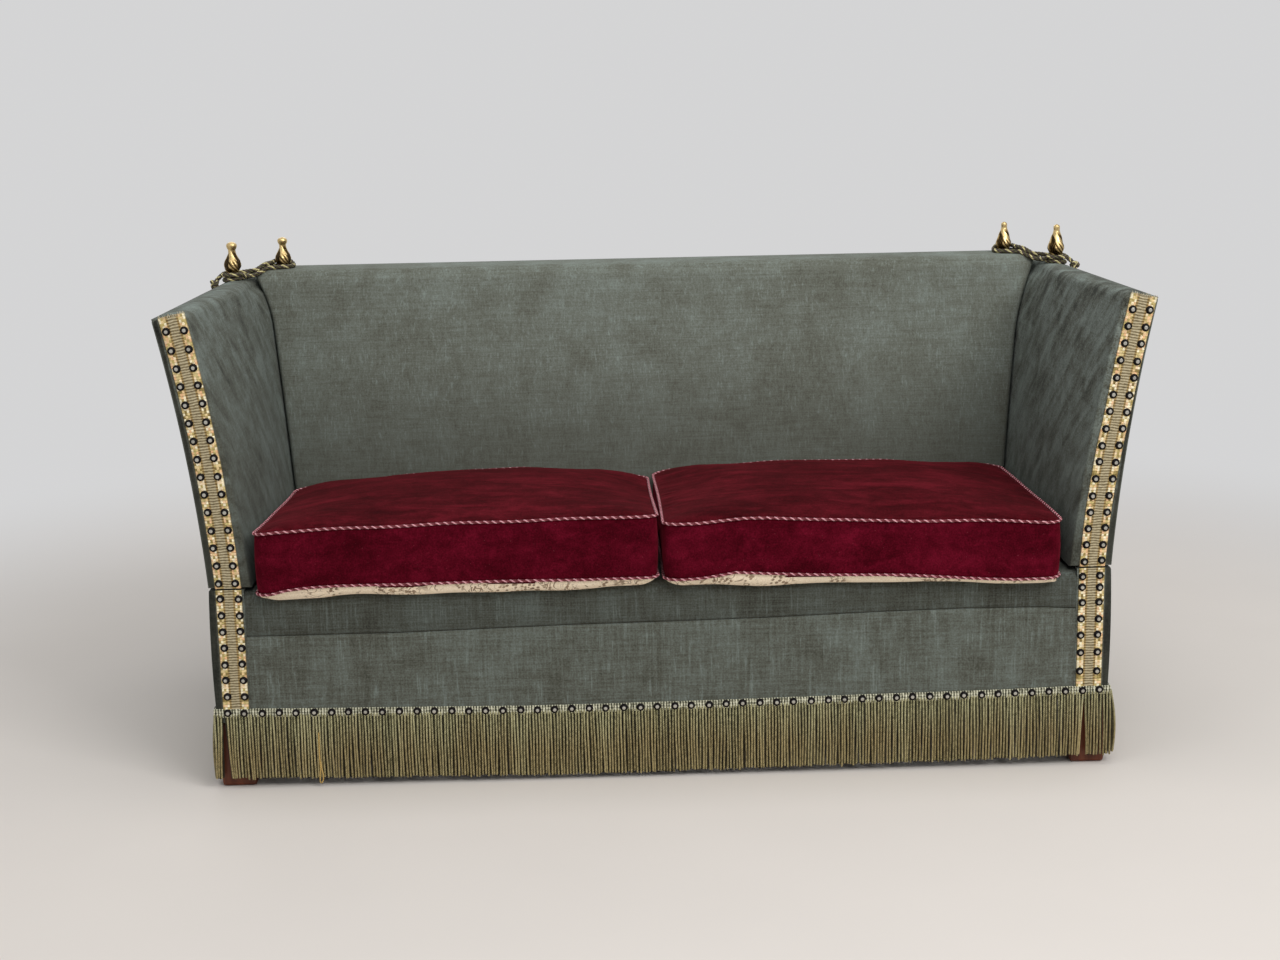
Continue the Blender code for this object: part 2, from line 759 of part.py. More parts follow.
def make_arm_cover(side_name, side, axis):
    """Outer fabric with its returns on the arm's front and rear edges."""
    board_end = COVER + GAP + ARM_BOARD
    under = ARM_TOP_STUFFING + GAP
    stations = [
        ((board_end, 0), (board_end, COVER), SEAM_HALF_GAP, under),
        ((ARM_TOP_LAP, 0), (ARM_TOP_LAP, COVER), SEAM_HALF_GAP, under),
        ((0, 0), (COVER, COVER), SEAM_HALF_GAP, 0),
    ]
    for share in shares(ARM_STATIONS - 2):
        back = mix(COVER_RAMP, ARM_LENGTH - COVER_RAMP, share)
        stations.append(((0, back), (COVER, back), COVER_LIFT, 0))
    far = ARM_LENGTH
    stations += [
        ((0, far), (COVER, far - COVER), SEAM_HALF_GAP, 0),
        ((ARM_TOP_LAP, far), (ARM_TOP_LAP, far - COVER), SEAM_HALF_GAP, under),
        ((board_end, far), (board_end, far - COVER), SEAM_HALF_GAP, under),
    ]
    sections = []
    for outside, inside, bottom, drop in stations:
        ring = []
        for (depth, back), turned in ((outside, 1), (inside, -1)):
            lifts = levels(bottom, arm_height(back) - drop, arm_breaks(back))
            ring += [arm_point(side, back, lift, depth) for lift in lifts[::turned]]
        sections.append(ring)
    place_piece(loft(f"arm_cover_{side_name}", sections), "velour", axis)


def make_arm_band(side_name, side, axis):
    """Gimp band that follows the flare of the arm's front edge."""
    sections = []
    for lift in levels(SEAM_HALF_GAP, arm_height(0), arm_breaks(0)):
        ring = []
        for depth, back in (
            (BAND_INSET, -GAP),
            (BAND_INSET, -GAP - BAND_THICK),
            (BAND_INSET + BAND_WIDTH, -GAP - BAND_THICK),
            (BAND_INSET + BAND_WIDTH, -GAP),
        ):
            place = arm_point(side, 0, lift, depth)
            ring.append((place.x, back, place.z))
        sections.append(ring)
    place_piece(loft(f"arm_band_{side_name}", sections), "gimp", axis)


def barrel_bounds(place, number):
    """Ends of one of the hinge's barrels along the axis."""
    pitch = HINGE_LENGTH / BARREL_COUNT
    start = place - HINGE_LENGTH / 2 + number * pitch
    near = start if number == 0 else start + GAP / 2
    far = start + pitch if number == BARREL_COUNT - 1 else start + pitch - GAP / 2
    return near, far


def make_leaf(name, side, place, upward, owned):
    """Hinge leaf with the barrels that it owns."""
    level = SEAM_HEIGHT + upward * SEAM_HALF_GAP
    plate_edge = HINGE_X - BARREL_RADIUS - 2 * GAP
    low, high = sorted_corners(
        (side * (HINGE_X - LEAF_WIDTH), place - HINGE_LENGTH / 2, level),
        (side * plate_edge, place + HINGE_LENGTH / 2, level + upward * LEAF_THICK),
    )
    leaf = box(name, low, high)
    for number in owned:
        near, far = barrel_bounds(place, number)
        low, high = sorted_corners(
            (side * (plate_edge - JOIN), near, level), (side * HINGE_X, far, level + upward * LEAF_THICK)
        )
        combine(leaf, box(f"{name}_lug_{number}", low, high), "UNION")
        barrel = rod(
            f"{name}_barrel_{number}",
            (side * HINGE_X, near, SEAM_HEIGHT),
            (side * HINGE_X, far, SEAM_HEIGHT),
            BARREL_RADIUS,
            BARREL_SEGMENTS,
        )
        combine(leaf, barrel, "UNION")
    return leaf


def make_hinge(side_name, side, number, place, axis):
    """Butt hinge: the lower leaf carries the pin, the upper leaf turns on it."""
    ends = [(side * HINGE_X, place + end * HINGE_LENGTH / 2, SEAM_HEIGHT) for end in (-1, 1)]
    lower = make_leaf(f"hinge_base_{side_name}_{number}", side, place, -1, (0, 2))
    combine(lower, rod(f"hinge_pin_{side_name}_{number}", *ends, PIN_RADIUS, BARREL_SEGMENTS), "UNION")
    place_piece(lower, "steel")
    upper = make_leaf(f"hinge_arm_{side_name}_{number}", side, place, 1, (1,))
    bore = rod(f"hinge_bore_{side_name}_{number}", *ends, PIN_RADIUS + GAP, BARREL_SEGMENTS)
    combine(upper, bore, "DIFFERENCE")
    place_piece(upper, "steel", axis)


def make_finial(name, place, stem=0, axis=None):
    """Cast finial: bell-shaped foot, hollowed neck and ball, turned from a profile, on a stem if it has one."""
    shape = bmesh.new()
    levels_up = [stem + share * FINIAL_HEIGHT for share in FINIAL_LEVELS_share]
    profile = list(zip(FINIAL_RADII, levels_up))
    if stem:
        profile = [(STEM_RADIUS, 0), (STEM_RADIUS, stem), *profile]
    points = [(0, stem + FINIAL_HEIGHT), *reversed(profile), (0, 0)]
    verts = [shape.verts.new((radius, 0, level)) for radius, level in points]
    for first, second in zip(verts, verts[1:]):
        shape.edges.new((first, second))
    mesh = bpy.data.meshes.new(name)
    shape.to_mesh(mesh)
    shape.free()
    finial = bpy.data.objects.new(name, mesh)
    SETTEE.objects.link(finial)
    screw = finial.modifiers.new("turned", "SCREW")
    screw.steps = FINIAL_STEPS
    screw.render_steps = FINIAL_STEPS
    screw.use_merge_vertices = True
    screw.merge_threshold = 0.0001
    screw.use_smooth_shade = True
    finial.location = place
    place_piece(finial, "brass", axis)


def back_finial_height():
    return BACK_HEIGHT - BACK_FINIAL_SINK


def make_back():
    make_back_posts()
    make_back_rails()
    make_back_pad()
    make_back_cover()
    for side_name, side in SIDES:
        place = Vector((side * BACK_FINIAL_X, BACK_FINIAL_PLACE, back_finial_height() + GAP))
        make_finial(f"back_finial_{side_name}", place)


def back_frame_face(height):
    return back_face(height) + BACK_PAD + GAP


def back_frame_rear(height):
    return back_rear(height) - COVER - GAP


def make_back_posts():
    """Raked posts, bolted inside the rear rail and notched over it."""
    inside = BASE_DEPTH - COVER - GAP - RAIL_THICK - GAP
    notch = RAIL_TOP + WEB_THICK + 2 * GAP
    top = BACK_HEIGHT - BACK_TOP_STUFFING - TOP_RAIL_DROP - 2 * GAP
    outline = [
        (inside, BACK_POST_FOOT),
        (inside, notch),
        (back_frame_rear(notch), notch),
        (back_frame_rear(SEAM_HEIGHT), SEAM_HEIGHT),
        (back_frame_rear(top), top),
        (back_frame_face(top), top),
        (back_frame_face(SEAM_HEIGHT), SEAM_HEIGHT),
        (inside - BACK_POST_DEPTH, notch),
        (inside - BACK_POST_DEPTH, BACK_POST_FOOT),
    ]
    for side_name, side in SIDES:
        post = extruded(
            f"back_post_{side_name}",
            outline,
            side * (BACK_POST_OUTER - BACK_POST_THICK),
            side * BACK_POST_OUTER,
        )
        place_piece(soften(post, RAIL_ROUND), "beech")


def make_back_rails():
    top = BACK_HEIGHT - BACK_TOP_STUFFING - GAP
    bottom = top - TOP_RAIL_DROP
    outline = [
        (back_frame_face(bottom), bottom),
        (back_frame_rear(bottom), bottom),
        (back_frame_rear(top), top),
        (back_frame_face(top), top),
    ]
    reach = back_half_width(back_frame_face(bottom), bottom) - TOP_RAIL_END
    place_piece(soften(extruded("back_top_rail", outline, -reach, reach), RAIL_ROUND), "beech")
    bottom = LOWER_RAIL_BOTTOM
    top = bottom + LOWER_RAIL_HEIGHT
    outline = [
        (back_frame_face(bottom), bottom),
        (back_frame_face(bottom) + RAIL_THICK, bottom),
        (back_frame_face(top) + RAIL_THICK, top),
        (back_frame_face(top), top),
    ]
    reach = BACK_POST_OUTER - BACK_POST_THICK - GAP
    place_piece(soften(extruded("back_lower_rail", outline, -reach, reach), RAIL_ROUND), "beech")


def make_back_pad():
    """Padded inside back that rolls over the top rail, as wide as the arms leave at every height."""
    sections = []
    breaks = [SEAM_HEIGHT + lift for lift in arm_breaks(BACK_FACE_PLACE)]
    for share in shares(BACK_STATIONS):
        across = math.sin(math.pi * (share - 0.5))
        crown = BACK_CROWN * (1 - across**4)
        outline = padded_section(
            BACK_BOTTOM,
            BACK_HEIGHT,
            BACK_ROLL,
            crown,
            lambda height: BACK_PAD,
            lambda height: back_frame_rear(height) - back_face(height),
            BACK_TOP_STUFFING,
            breaks,
        )
        section = []
        for inset, height in outline:
            back = back_face(height) + inset
            section.append((across * back_half_width(back, height), back, height))
        sections.append(section)
    pad = loft("back_pad", sections)
    for side_name, side in SIDES:
        seat = rod(
            f"back_finial_seat_{side_name}",
            (side * BACK_FINIAL_X, BACK_FINIAL_PLACE, back_finial_height()),
            (side * BACK_FINIAL_X, BACK_FINIAL_PLACE, back_finial_height() + FINIAL_HEIGHT),
            FINIAL_RADII[2] + GAP,
            FINIAL_STEPS,
        )
        combine(pad, seat, "DIFFERENCE")
    place_piece(pad, "velour")


def make_back_cover():
    """Outside back: one panel from the top down to the base's lower edge."""
    sections = []
    breaks = [SEAM_HEIGHT + lift for lift in arm_breaks(BACK_FACE_PLACE)]
    for height in levels(FOOT_HEIGHT, BACK_HEIGHT, breaks):
        rear = back_rear(height)
        half = back_half_width(rear, max(height, SEAM_HEIGHT))
        half = min(half, REAR_HALF_WIDTH) if height < SEAM_HEIGHT else half
        sections.append(
            [
                (-half, rear, height),
                (half, rear, height),
                (half, rear - COVER, height),
                (-half, rear - COVER, height),
            ]
        )
    place_piece(loft("back_cover", sections), "velour")


def cushion_point(across, along, up):
    """Point of a cushion from a cube's, with each from -1 to 1."""
    half_width = CUSHION_WIDTH / 2
    half_depth = CUSHION_DEPTH / 2
    corner = CUSHION_CORNER * (across * along) ** 8
    x = across * (half_width - CUSHION_PULL * (1 - along**2) * across**2 - corner)
    y = along * (half_depth - CUSHION_PULL * (1 - across**2) * along**2 - corner)
    swell = CUSHION_BULGE * (1 - up**2)
    if abs(across) == 1:
        x += across * swell
    if abs(along) == 1:
        y += along * swell
    z = (up + 1) / 2 * CUSHION_BORDER
    if up == 1:
        z += CUSHION_CROWN * (1 - across**4) * (1 - along**4)
    return Vector((x, y, z))


def make_cushions():
    """Loose seat cushions: crowned top, sides drawn in between the corners."""
    for side_name, side in SIDES:
        shape = bmesh.new()
        counts = CUSHION_CELLS
        bmesh.ops.create_cube(shape, size=2)
        for axis, count in enumerate(counts):
            for number in range(1, count):
                plane = Vector((0, 0, 0))
                plane[axis] = -1 + 2 * number / count
                normal = Vector((0, 0, 0))
                normal[axis] = 1
                everything = shape.verts[:] + shape.edges[:] + shape.faces[:]
                bmesh.ops.bisect_plane(shape, geom=everything, plane_co=plane, plane_no=normal)
        for vert in shape.verts:
            vert.co = cushion_point(*(round(value, 6) for value in vert.co))
        front = min(vert.co.y for vert in shape.verts)
        cushion = finish_mesh(f"cushion_{side_name}", shape)
        middle = CUSHION_SHIFT + side * CUSHION_PITCH / 2
        cushion.location = (middle, -CUSHION_OVERHANG - front, DECK_TOP + GAP)
        place_piece(cushion, "velvet")


def cord_centres(side):
    """Where the winding goes round: the arm's finial and the back's, at the first turn's level."""
    arm = Vector((side * ARM_FINIAL_X, ARM_FINIAL_PLACE, arm_finial_height() + ARM_FINIAL_SINK + CORD_LIFT))
    back = Vector((side * BACK_FINIAL_X, BACK_FINIAL_PLACE, BACK_HEIGHT + CORD_LIFT))
    return arm, back


def winding_route(side):
    """Points of the cord from its stopper knot, round both finials, and down to the knot outside the arm."""
    arm, back = cord_centres(side)
    level = Vector((back.x - arm.x, back.y - arm.y, 0))
    inward = level.normalized()
    outward = Vector((side * abs(inward.y), abs(inward.x), 0))
    radius = max(FINIAL_RADII) + CORD / 2 + CORD_CLEARANCE
    route = []

    def add(centre, angle, progress):
        turn = math.radians(angle)
        spot = centre + radius * (inward * math.cos(turn) + outward * math.sin(turn))
        route.append(spot + Vector((0, 0, progress * CORD_PITCH)))

    start = back + inward * radius
    for number in range(LEAD_POINTS):
        route.append(start - outward * LEAD_IN * (1 - number / LEAD_POINTS))
    for number in range(ARC_POINTS // 2 + 1):
        add(back, 90 * number / (ARC_POINTS // 2), 0.25 * number / (ARC_POINTS // 2))
    for turn in range(CORD_TURNS):
        for number in range(1, SPAN_POINTS + 1):
            share = number / (SPAN_POINTS + 1)
            spot = back.lerp(arm, share) + outward * radius
            route.append(spot + Vector((0, 0, (turn + 0.25) * CORD_PITCH)))
        for number in range(ARC_POINTS):
            share = number / (ARC_POINTS - 1)
            add(arm, 90 + 180 * share, turn + mix(0.25, 0.75, share))
        for number in range(1, SPAN_POINTS + 1):
            share = number / (SPAN_POINTS + 1)
            spot = arm.lerp(back, share) - outward * radius
            route.append(spot + Vector((0, 0, (turn + 0.75) * CORD_PITCH)))
        for number in range(ARC_POINTS):
            share = number / (ARC_POINTS - 1)
            add(back, -90 + 180 * share, turn + mix(0.75, 1.25, share))
    last = CORD_TURNS + 0.25
    for number in range(1, SPAN_POINTS + 2):
        share = number / (SPAN_POINTS + 1)
        spot = back.lerp(arm, share) + outward * radius
        route.append(spot + Vector((0, 0, last * CORD_PITCH)))
    bend = route[-1] - inward * EXIT_RUN
    for number in range(EXIT_POINTS + 1):
        turn = math.radians(90 * number / EXIT_POINTS)
        drop = Vector((0, 0, -EXIT_RADIUS * (1 - math.cos(turn))))
        route.append(bend - inward * EXIT_RADIUS * math.sin(turn) + drop)
    foot = Vector((route[-1].x, route[-1].y, KNOT_HEIGHT + KNOT_RADIUS + GAP))
    route.append(route[-1].lerp(foot, 0.5))
    route.append(foot)
    return route


def least_gap(route):
    """Least clear distance between the tube's turns, on points along its middle."""
    fine = []
    for first, second in zip(route, route[1:]):
        steps = max(1, round((second - first).length / (CORD / 3)))
        fine += [first.lerp(second, step / steps) for step in range(steps)]
    lengths = [0]
    for first, second in zip(fine, fine[1:]):
        lengths.append(lengths[-1] + (second - first).length)
    least = math.inf
    for number, place in enumerate(fine):
        for other in range(number + 1, len(fine)):
            if lengths[other] - lengths[number] > math.pi * CORD:
                least = min(least, (fine[other] - place).length)
    return least - CORD


def tube(name, route, diameter):
    """Round tube with capped ends along the route, as a mesh."""
    curve = bpy.data.curves.new(name, "CURVE")
    curve.dimensions = "3D"
    curve.bevel_depth = diameter / 2
    curve.bevel_resolution = 1
    curve.use_fill_caps = True
    spline = curve.splines.new("POLY")
    spline.points.add(len(route) - 1)
    for point, place in zip(spline.points, route):
        point.co = (*place, 1)
    guide = bpy.data.objects.new(name, curve)
    SETTEE.objects.link(guide)
    bpy.context.view_layer.update()
    mesh = bpy.data.meshes.new_from_object(guide.evaluated_get(bpy.context.evaluated_depsgraph_get()))
    bpy.data.objects.remove(guide)
    shape = bmesh.new()
    shape.from_mesh(mesh)
    bmesh.ops.remove_doubles(shape, verts=shape.verts[:], dist=GAP / 3)
    return finish_mesh(name, shape)


def make_winding(side_name, side):
    route = winding_route(side)
    winding = tube(f"cord_winding_{side_name}", route, CORD)
    stopper = ball(f"cord_stopper_{side_name}", route[0], STOPPER_RADIUS)
    combine(winding, stopper, "UNION")
    print(f"cord_winding_{side_name}: least gap to itself {least_gap(route) * 1000:.2f} mm")
    place_piece(winding, "cord")


def knot_place(side):
    foot = winding_route(side)[-1]
    return Vector((foot.x, foot.y, KNOT_HEIGHT))


def make_tassel(side_name, side, swing):
    """Knot outside the arm, the cord's tail under it, and the tassel on the tail's end."""
    knot = knot_place(side)
    foot = knot - Vector((0, 0, TAIL_LENGTH))
    tail = tube(f"cord_tail_{side_name}", [knot.lerp(foot, share) for share in shares(TAIL_POINTS)], CORD)
    combine(tail, ball(f"cord_knot_{side_name}", knot, KNOT_RADIUS), "UNION")
    place_piece(tail, "cord", swing)
    sections = []
    top = foot.z - GAP
    for radius, share in zip(TASSEL_RADII, TASSEL_LEVELS_share):
        ring = []
        for number in range(TASSEL_SIDES):
            turn = 2 * math.pi * number / TASSEL_SIDES
            ribbed = TASSEL_RIB_share if share > TASSEL_LEVELS_share[4] else 0
            reach = radius * (1 + ribbed * math.cos(TASSEL_RIBS * turn))
            height = top - share * TASSEL_LENGTH
            ring.append((knot.x + reach * math.cos(turn), knot.y + reach * math.sin(turn), height))
        sections.append(ring)
    place_piece(loft(f"tassel_{side_name}", sections), "fringe", swing)


def make_arm(side_name, side):
    axis = make_empty(f"arm_axis_{side_name}", (side * HINGE_X, 0, SEAM_HEIGHT), FRONT)
    make_arm_frame(side_name, side, axis)
    make_arm_pad(side_name, side, axis)
    make_arm_cover(side_name, side, axis)
    make_arm_band(side_name, side, axis)
    for number, place in enumerate(HINGE_PLACES):
        make_hinge(side_name, side, number, place, axis)
    place = Vector((side * ARM_FINIAL_X, ARM_FINIAL_PLACE, arm_finial_height() + GAP))
    make_finial(f"arm_finial_{side_name}", place, ARM_STEM, axis)
    make_winding(side_name, side)
    knot = knot_place(side)
    swing = make_empty(f"tassel_axis_{side_name}", knot, FRONT)
    make_tassel(side_name, side, swing)


make_feet()
make_rails()
make_webbing()
make_sills()
make_deck()
make_border()
make_side_covers()
make_dust_cover()
make_base_bands()
make_fringes()
make_back()
make_cushions()
for SIDE_NAME, SIDE in SIDES:
    make_arm(SIDE_NAME, SIDE)
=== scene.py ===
"""Looks of the two-seater settee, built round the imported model.

Metres, +Z up, front towards -Y. A place called back is measured back from the fabric's front plane,
a lift is measured up from the seam between base and arms, and a depth in from the arm's outer face.
"""

import math

import bpy
import numpy as np
from mathutils import Matrix, Vector, noise


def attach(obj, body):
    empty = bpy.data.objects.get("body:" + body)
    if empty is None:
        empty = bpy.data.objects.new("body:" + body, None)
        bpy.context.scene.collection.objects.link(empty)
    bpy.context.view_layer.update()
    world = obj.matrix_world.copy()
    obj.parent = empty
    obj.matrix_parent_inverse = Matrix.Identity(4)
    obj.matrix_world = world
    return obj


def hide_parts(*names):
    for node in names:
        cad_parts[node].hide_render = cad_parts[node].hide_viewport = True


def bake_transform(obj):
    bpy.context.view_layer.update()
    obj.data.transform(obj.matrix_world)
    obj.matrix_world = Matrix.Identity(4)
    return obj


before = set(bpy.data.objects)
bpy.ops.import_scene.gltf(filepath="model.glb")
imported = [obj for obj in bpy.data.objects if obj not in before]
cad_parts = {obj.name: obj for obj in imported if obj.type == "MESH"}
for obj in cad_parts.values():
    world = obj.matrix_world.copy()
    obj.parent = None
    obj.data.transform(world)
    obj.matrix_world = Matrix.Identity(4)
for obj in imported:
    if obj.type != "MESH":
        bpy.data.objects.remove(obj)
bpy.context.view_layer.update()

CHANCE = np.random.default_rng(7)

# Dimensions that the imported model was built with
FRONT_Y = -0.3325
SIDES = (("left", -1), ("right", 1))
BASE_HALF = 0.779
BASE_DEPTH = 0.660
SEAM = 0.360
BACK_HEIGHT = 0.848
BACK_CREST = 0.8435
BACK_REACH = 0.700
ARM_LENGTH = 0.655
GAP = 0.0003
SEAM_HALF = 0.0015
BAND_INSET = 0.0125
BAND_WIDTH = 0.045
BAND_THICK = 0.0022
HEADER_TOP = 0.1455
HEADER_FOOT = 0.133
FRINGE_FOOT = 0.0195
LIP_HEIGHT = 0.274
DECK_TOP = 0.3535
DECK_FOOT = 0.333
PAD_FOOT = 0.3541
COVER = 0.0045
DECK_DEPTH = 0.5455
BORDER_HALF = 0.7182
SILL_HALF = 0.7192
FOOT_HEIGHT = 0.120
REAR_HALF = 0.6995
CORD = 0.009
CORD_LAY = 0.026
GROMMET = 0.0172
TAIL = 0.190
TASSEL_TOP = 0.814
ARM_FINIAL = (0.8035, 0.555)
BACK_FINIAL = (0.7185, 0.640)
NAIL = 0.0069
STRAP_HALF = 0.0245
CUSHION_HALF_DEPTH = 0.27275
CUSHION_FRONT = -0.032
SURROUND = (0.66, 0.66, 0.665)


def mix(first, last, share):
    return first + (last - first) * share


def finial_spot(side, place, height=0.0):
    """Where a finial stands: place is its distance from the middle and its distance back."""
    return Vector((side * place[0], FRONT_Y + place[1], height))


def smooth(value, low, high):
    """0 below low, 1 above high, and an even curve between. Works on arrays."""
    share = np.clip((value - low) / (high - low), 0, 1)
    return share * share * (3 - 2 * share)


def full_turn(count):
    """Angles spaced evenly round a circle."""
    return np.linspace(0, 2 * math.pi, count, endpoint=False)


def curve(table, places):
    """What a table of (place, value) pairs says at other places."""
    return np.interp(places, *zip(*table))


def quarter(radius, count):
    """Pairs (near, far) over a quarter turn, from (0, radius) to (radius, 0), that round a corner off."""
    turns = np.linspace(0, math.pi / 2, count)
    return [(radius * (1 - math.cos(turn)), radius * (1 - math.sin(turn))) for turn in turns]


def wander(places):
    """Smooth noise at each of the places."""
    return np.array([noise.noise(Vector(place)) for place in places])


# Meshes


class Build:
    """Gathers grids of quads into one mesh, each with a finish, UVs in its own units and a tone."""

    def __init__(self):
        self.points, self.faces, self.uvs, self.finishes, self.tones = [], [], [], [], []
        self.count = 0

    def grid(self, points, us, vs, wrap=False, finish=0, tone=0.5, flip=False, caps=False, cap_uvs=None):
        """points is (rows, columns, 3). us has a value a column, one more if it wraps; vs has one a row."""
        rows, columns = points.shape[:2]
        index = np.arange(rows * columns).reshape(rows, columns) + self.count
        across = np.append(np.arange(columns), 0) if wrap else np.arange(columns)
        index = index[:, across]
        corner = (index[:-1, :-1], index[:-1, 1:], index[1:, 1:], index[1:, :-1])
        us, vs = np.asarray(us, float), np.asarray(vs, float)
        u = np.broadcast_to(us, (rows, len(across)))
        v = np.broadcast_to(vs[:, None] if vs.ndim == 1 else vs, (rows, len(across)))
        where = ((slice(None, -1), slice(None, -1)), (slice(None, -1), slice(1, None)),
                 (slice(1, None), slice(1, None)), (slice(1, None), slice(None, -1)))
        quads = np.stack(corner, -1).reshape(-1, 4)
        maps = np.stack([np.stack((u[w], v[w]), -1) for w in where], 2).reshape(-1, 4, 2)
        if flip:
            quads, maps = quads[:, ::-1], maps[:, ::-1]
        self.faces += quads.tolist()
        self.uvs.append(maps.reshape(-1, 2))
        self.finishes += [finish] * len(quads)
        if caps:
            for row, turned in ((0, False), (rows - 1, True)):
                ring = index[row, :columns].tolist()
                face = ring if turned != flip else ring[::-1]
                self.faces.append(face)
                spots = np.tile((us[0], vs.ravel()[0 if row == 0 else -1]),
                                (columns, 1)) if cap_uvs is None else cap_uvs
                self.uvs.append(spots if turned != flip else spots[::-1])
                self.finishes.append(finish)
        self.points.append(points.reshape(-1, 3))
        tones = np.broadcast_to(np.asarray(tone, float), (rows, columns)) if np.ndim(tone) != 1 else (
            np.broadcast_to(np.asarray(tone, float)[:, None], (rows, columns)))
        self.tones.append(tones.ravel())
        self.count += rows * columns

    def loft(self, rings, tone=0.5, flip=False):
        """Closed rings joined into a solid with flat ends."""
        rings = np.array(rings)
        us = np.linspace(0, 1, rings.shape[1] + 1)
        self.grid(rings, us, np.arange(len(rings)), True, 0, tone, flip, caps=True)

    def tubes(self, paths, radius, sides, lobes=0, depth=0.0, lay=1.0, phases=None, finish=0, tones=None,
              normal=(1, 0, 0)):
        """Capped tubes along paths (number, rings, 3) that keep near one plane. radius may be (rings,)."""
        number, rings = paths.shape[:2]
        steps = np.linalg.norm(np.diff(paths, axis=1), axis=2)
        along = np.concatenate([np.zeros((number, 1)), np.cumsum(steps, 1)], 1)
        ahead = np.gradient(paths, axis=1)
        ahead /= np.linalg.norm(ahead, axis=2, keepdims=True)
        first = np.broadcast_to(np.asarray(normal, float), ahead.shape)
        first = first - (first * ahead).sum(2, keepdims=True) * ahead
        first /= np.linalg.norm(first, axis=2, keepdims=True)
        second = np.cross(ahead, first)
        angles = full_turn(sides)
        phases = np.zeros(number) if phases is None else phases
        turn = angles[None, None, :] - (2 * math.pi * along / lay + phases[:, None])[..., None]
        reach = np.broadcast_to(np.asarray(radius, float), (number, rings))[..., None]
        reach = reach * (1 - depth * (0.5 - 0.5 * np.cos(lobes * turn))) if lobes else reach + 0 * turn
        spots = paths[:, :, None] + reach[..., None] * (
            first[:, :, None] * np.cos(angles)[None, None, :, None]
            + second[:, :, None] * np.sin(angles)[None, None, :, None]
        )
        ring_u = np.linspace(0, 1, sides + 1)
        for place in range(number):
            tone = 0.5 if tones is None else tones[place]
            self.grid(spots[place], ring_u, along[place], True, finish, tone, caps=True)

    def piece(self, name, materials, sharp=40, body=None, slot=None, replaces=()):
        mesh = bpy.data.meshes.new(name)
        mesh.from_pydata(np.concatenate(self.points).tolist(), [], self.faces)
        layer = mesh.uv_layers.new(name="Weave")
        layer.data.foreach_set("uv", np.concatenate(self.uvs).astype(np.float32).ravel())
        tone = mesh.attributes.new("tone", "FLOAT", "POINT")
        tone.data.foreach_set("value", np.concatenate(self.tones).astype(np.float32))
        for material in materials if isinstance(materials, (list, tuple)) else [materials]:
            mesh.materials.append(material)
        mesh.polygons.foreach_set("material_index", np.array(self.finishes, np.int32))
        return settle(name, mesh, sharp, body, replaces)


def placed(name, data):
    """New object of the data, in the scene."""
    made = bpy.data.objects.new(name, data)
    bpy.context.scene.collection.objects.link(made)
    return made


def baked(made):
    """The object's mesh as its modifiers leave it. The object itself goes."""
    mesh = bpy.data.meshes.new_from_object(made.evaluated_get(bpy.context.evaluated_depsgraph_get()))
    bpy.data.objects.remove(made)
    return mesh


def settle(name, mesh, sharp=40, body=None, replaces=()):
    """Object of the mesh, shaded smooth, riding its body and standing for its CAD nodes."""
    mesh.update()
    mesh.shade_smooth()
    mesh.set_sharp_from_angle(angle=math.radians(sharp))
    made = placed(name, mesh)
    if body:
        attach(made, body)
    if replaces:
        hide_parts(*replaces)
    return made


def distances(path):
    """Distance along the path (points, 3) at each of its points."""
    return np.concatenate([[0], np.cumsum(np.linalg.norm(np.diff(path, axis=0), axis=1))])


def resample(path, step):
    """The path (points, 3) again with even steps, and the distance along it."""
    path = np.asarray(path, float)
    along = distances(path)
    count = max(2, round(along[-1] / step) + 1)
    places = np.linspace(0, along[-1], count)
    return np.stack([np.interp(places, along, path[:, axis]) for axis in range(3)], 1), places


def eased(path, rounds):
    """The path with its corners rounded, its ends kept."""
    path = np.asarray(path, float)
    for _ in range(rounds):
        mean = (np.roll(path, 1, 0) + 2 * path + np.roll(path, -1, 0)) / 4
        path = np.concatenate([path[:1], mean[1:-1], path[-1:]])
    return path


def carried_frames(path, loop=False):
    """Two unit vectors square to the path at each point, carried along without twist."""
    ahead = np.roll(path, -1, 0) - np.roll(path, 1, 0) if loop else np.gradient(path, axis=0)
    ahead /= np.linalg.norm(ahead, axis=1, keepdims=True)
    start = np.array((0, 0, 1.0)) if abs(ahead[0][2]) < 0.8 else np.array((1.0, 0, 0))
    firsts = []
    for direction in ahead:
        start = start - start.dot(direction) * direction
        start /= np.linalg.norm(start)
        firsts.append(start)
    firsts = np.array(firsts)
    return firsts, np.cross(ahead, firsts)


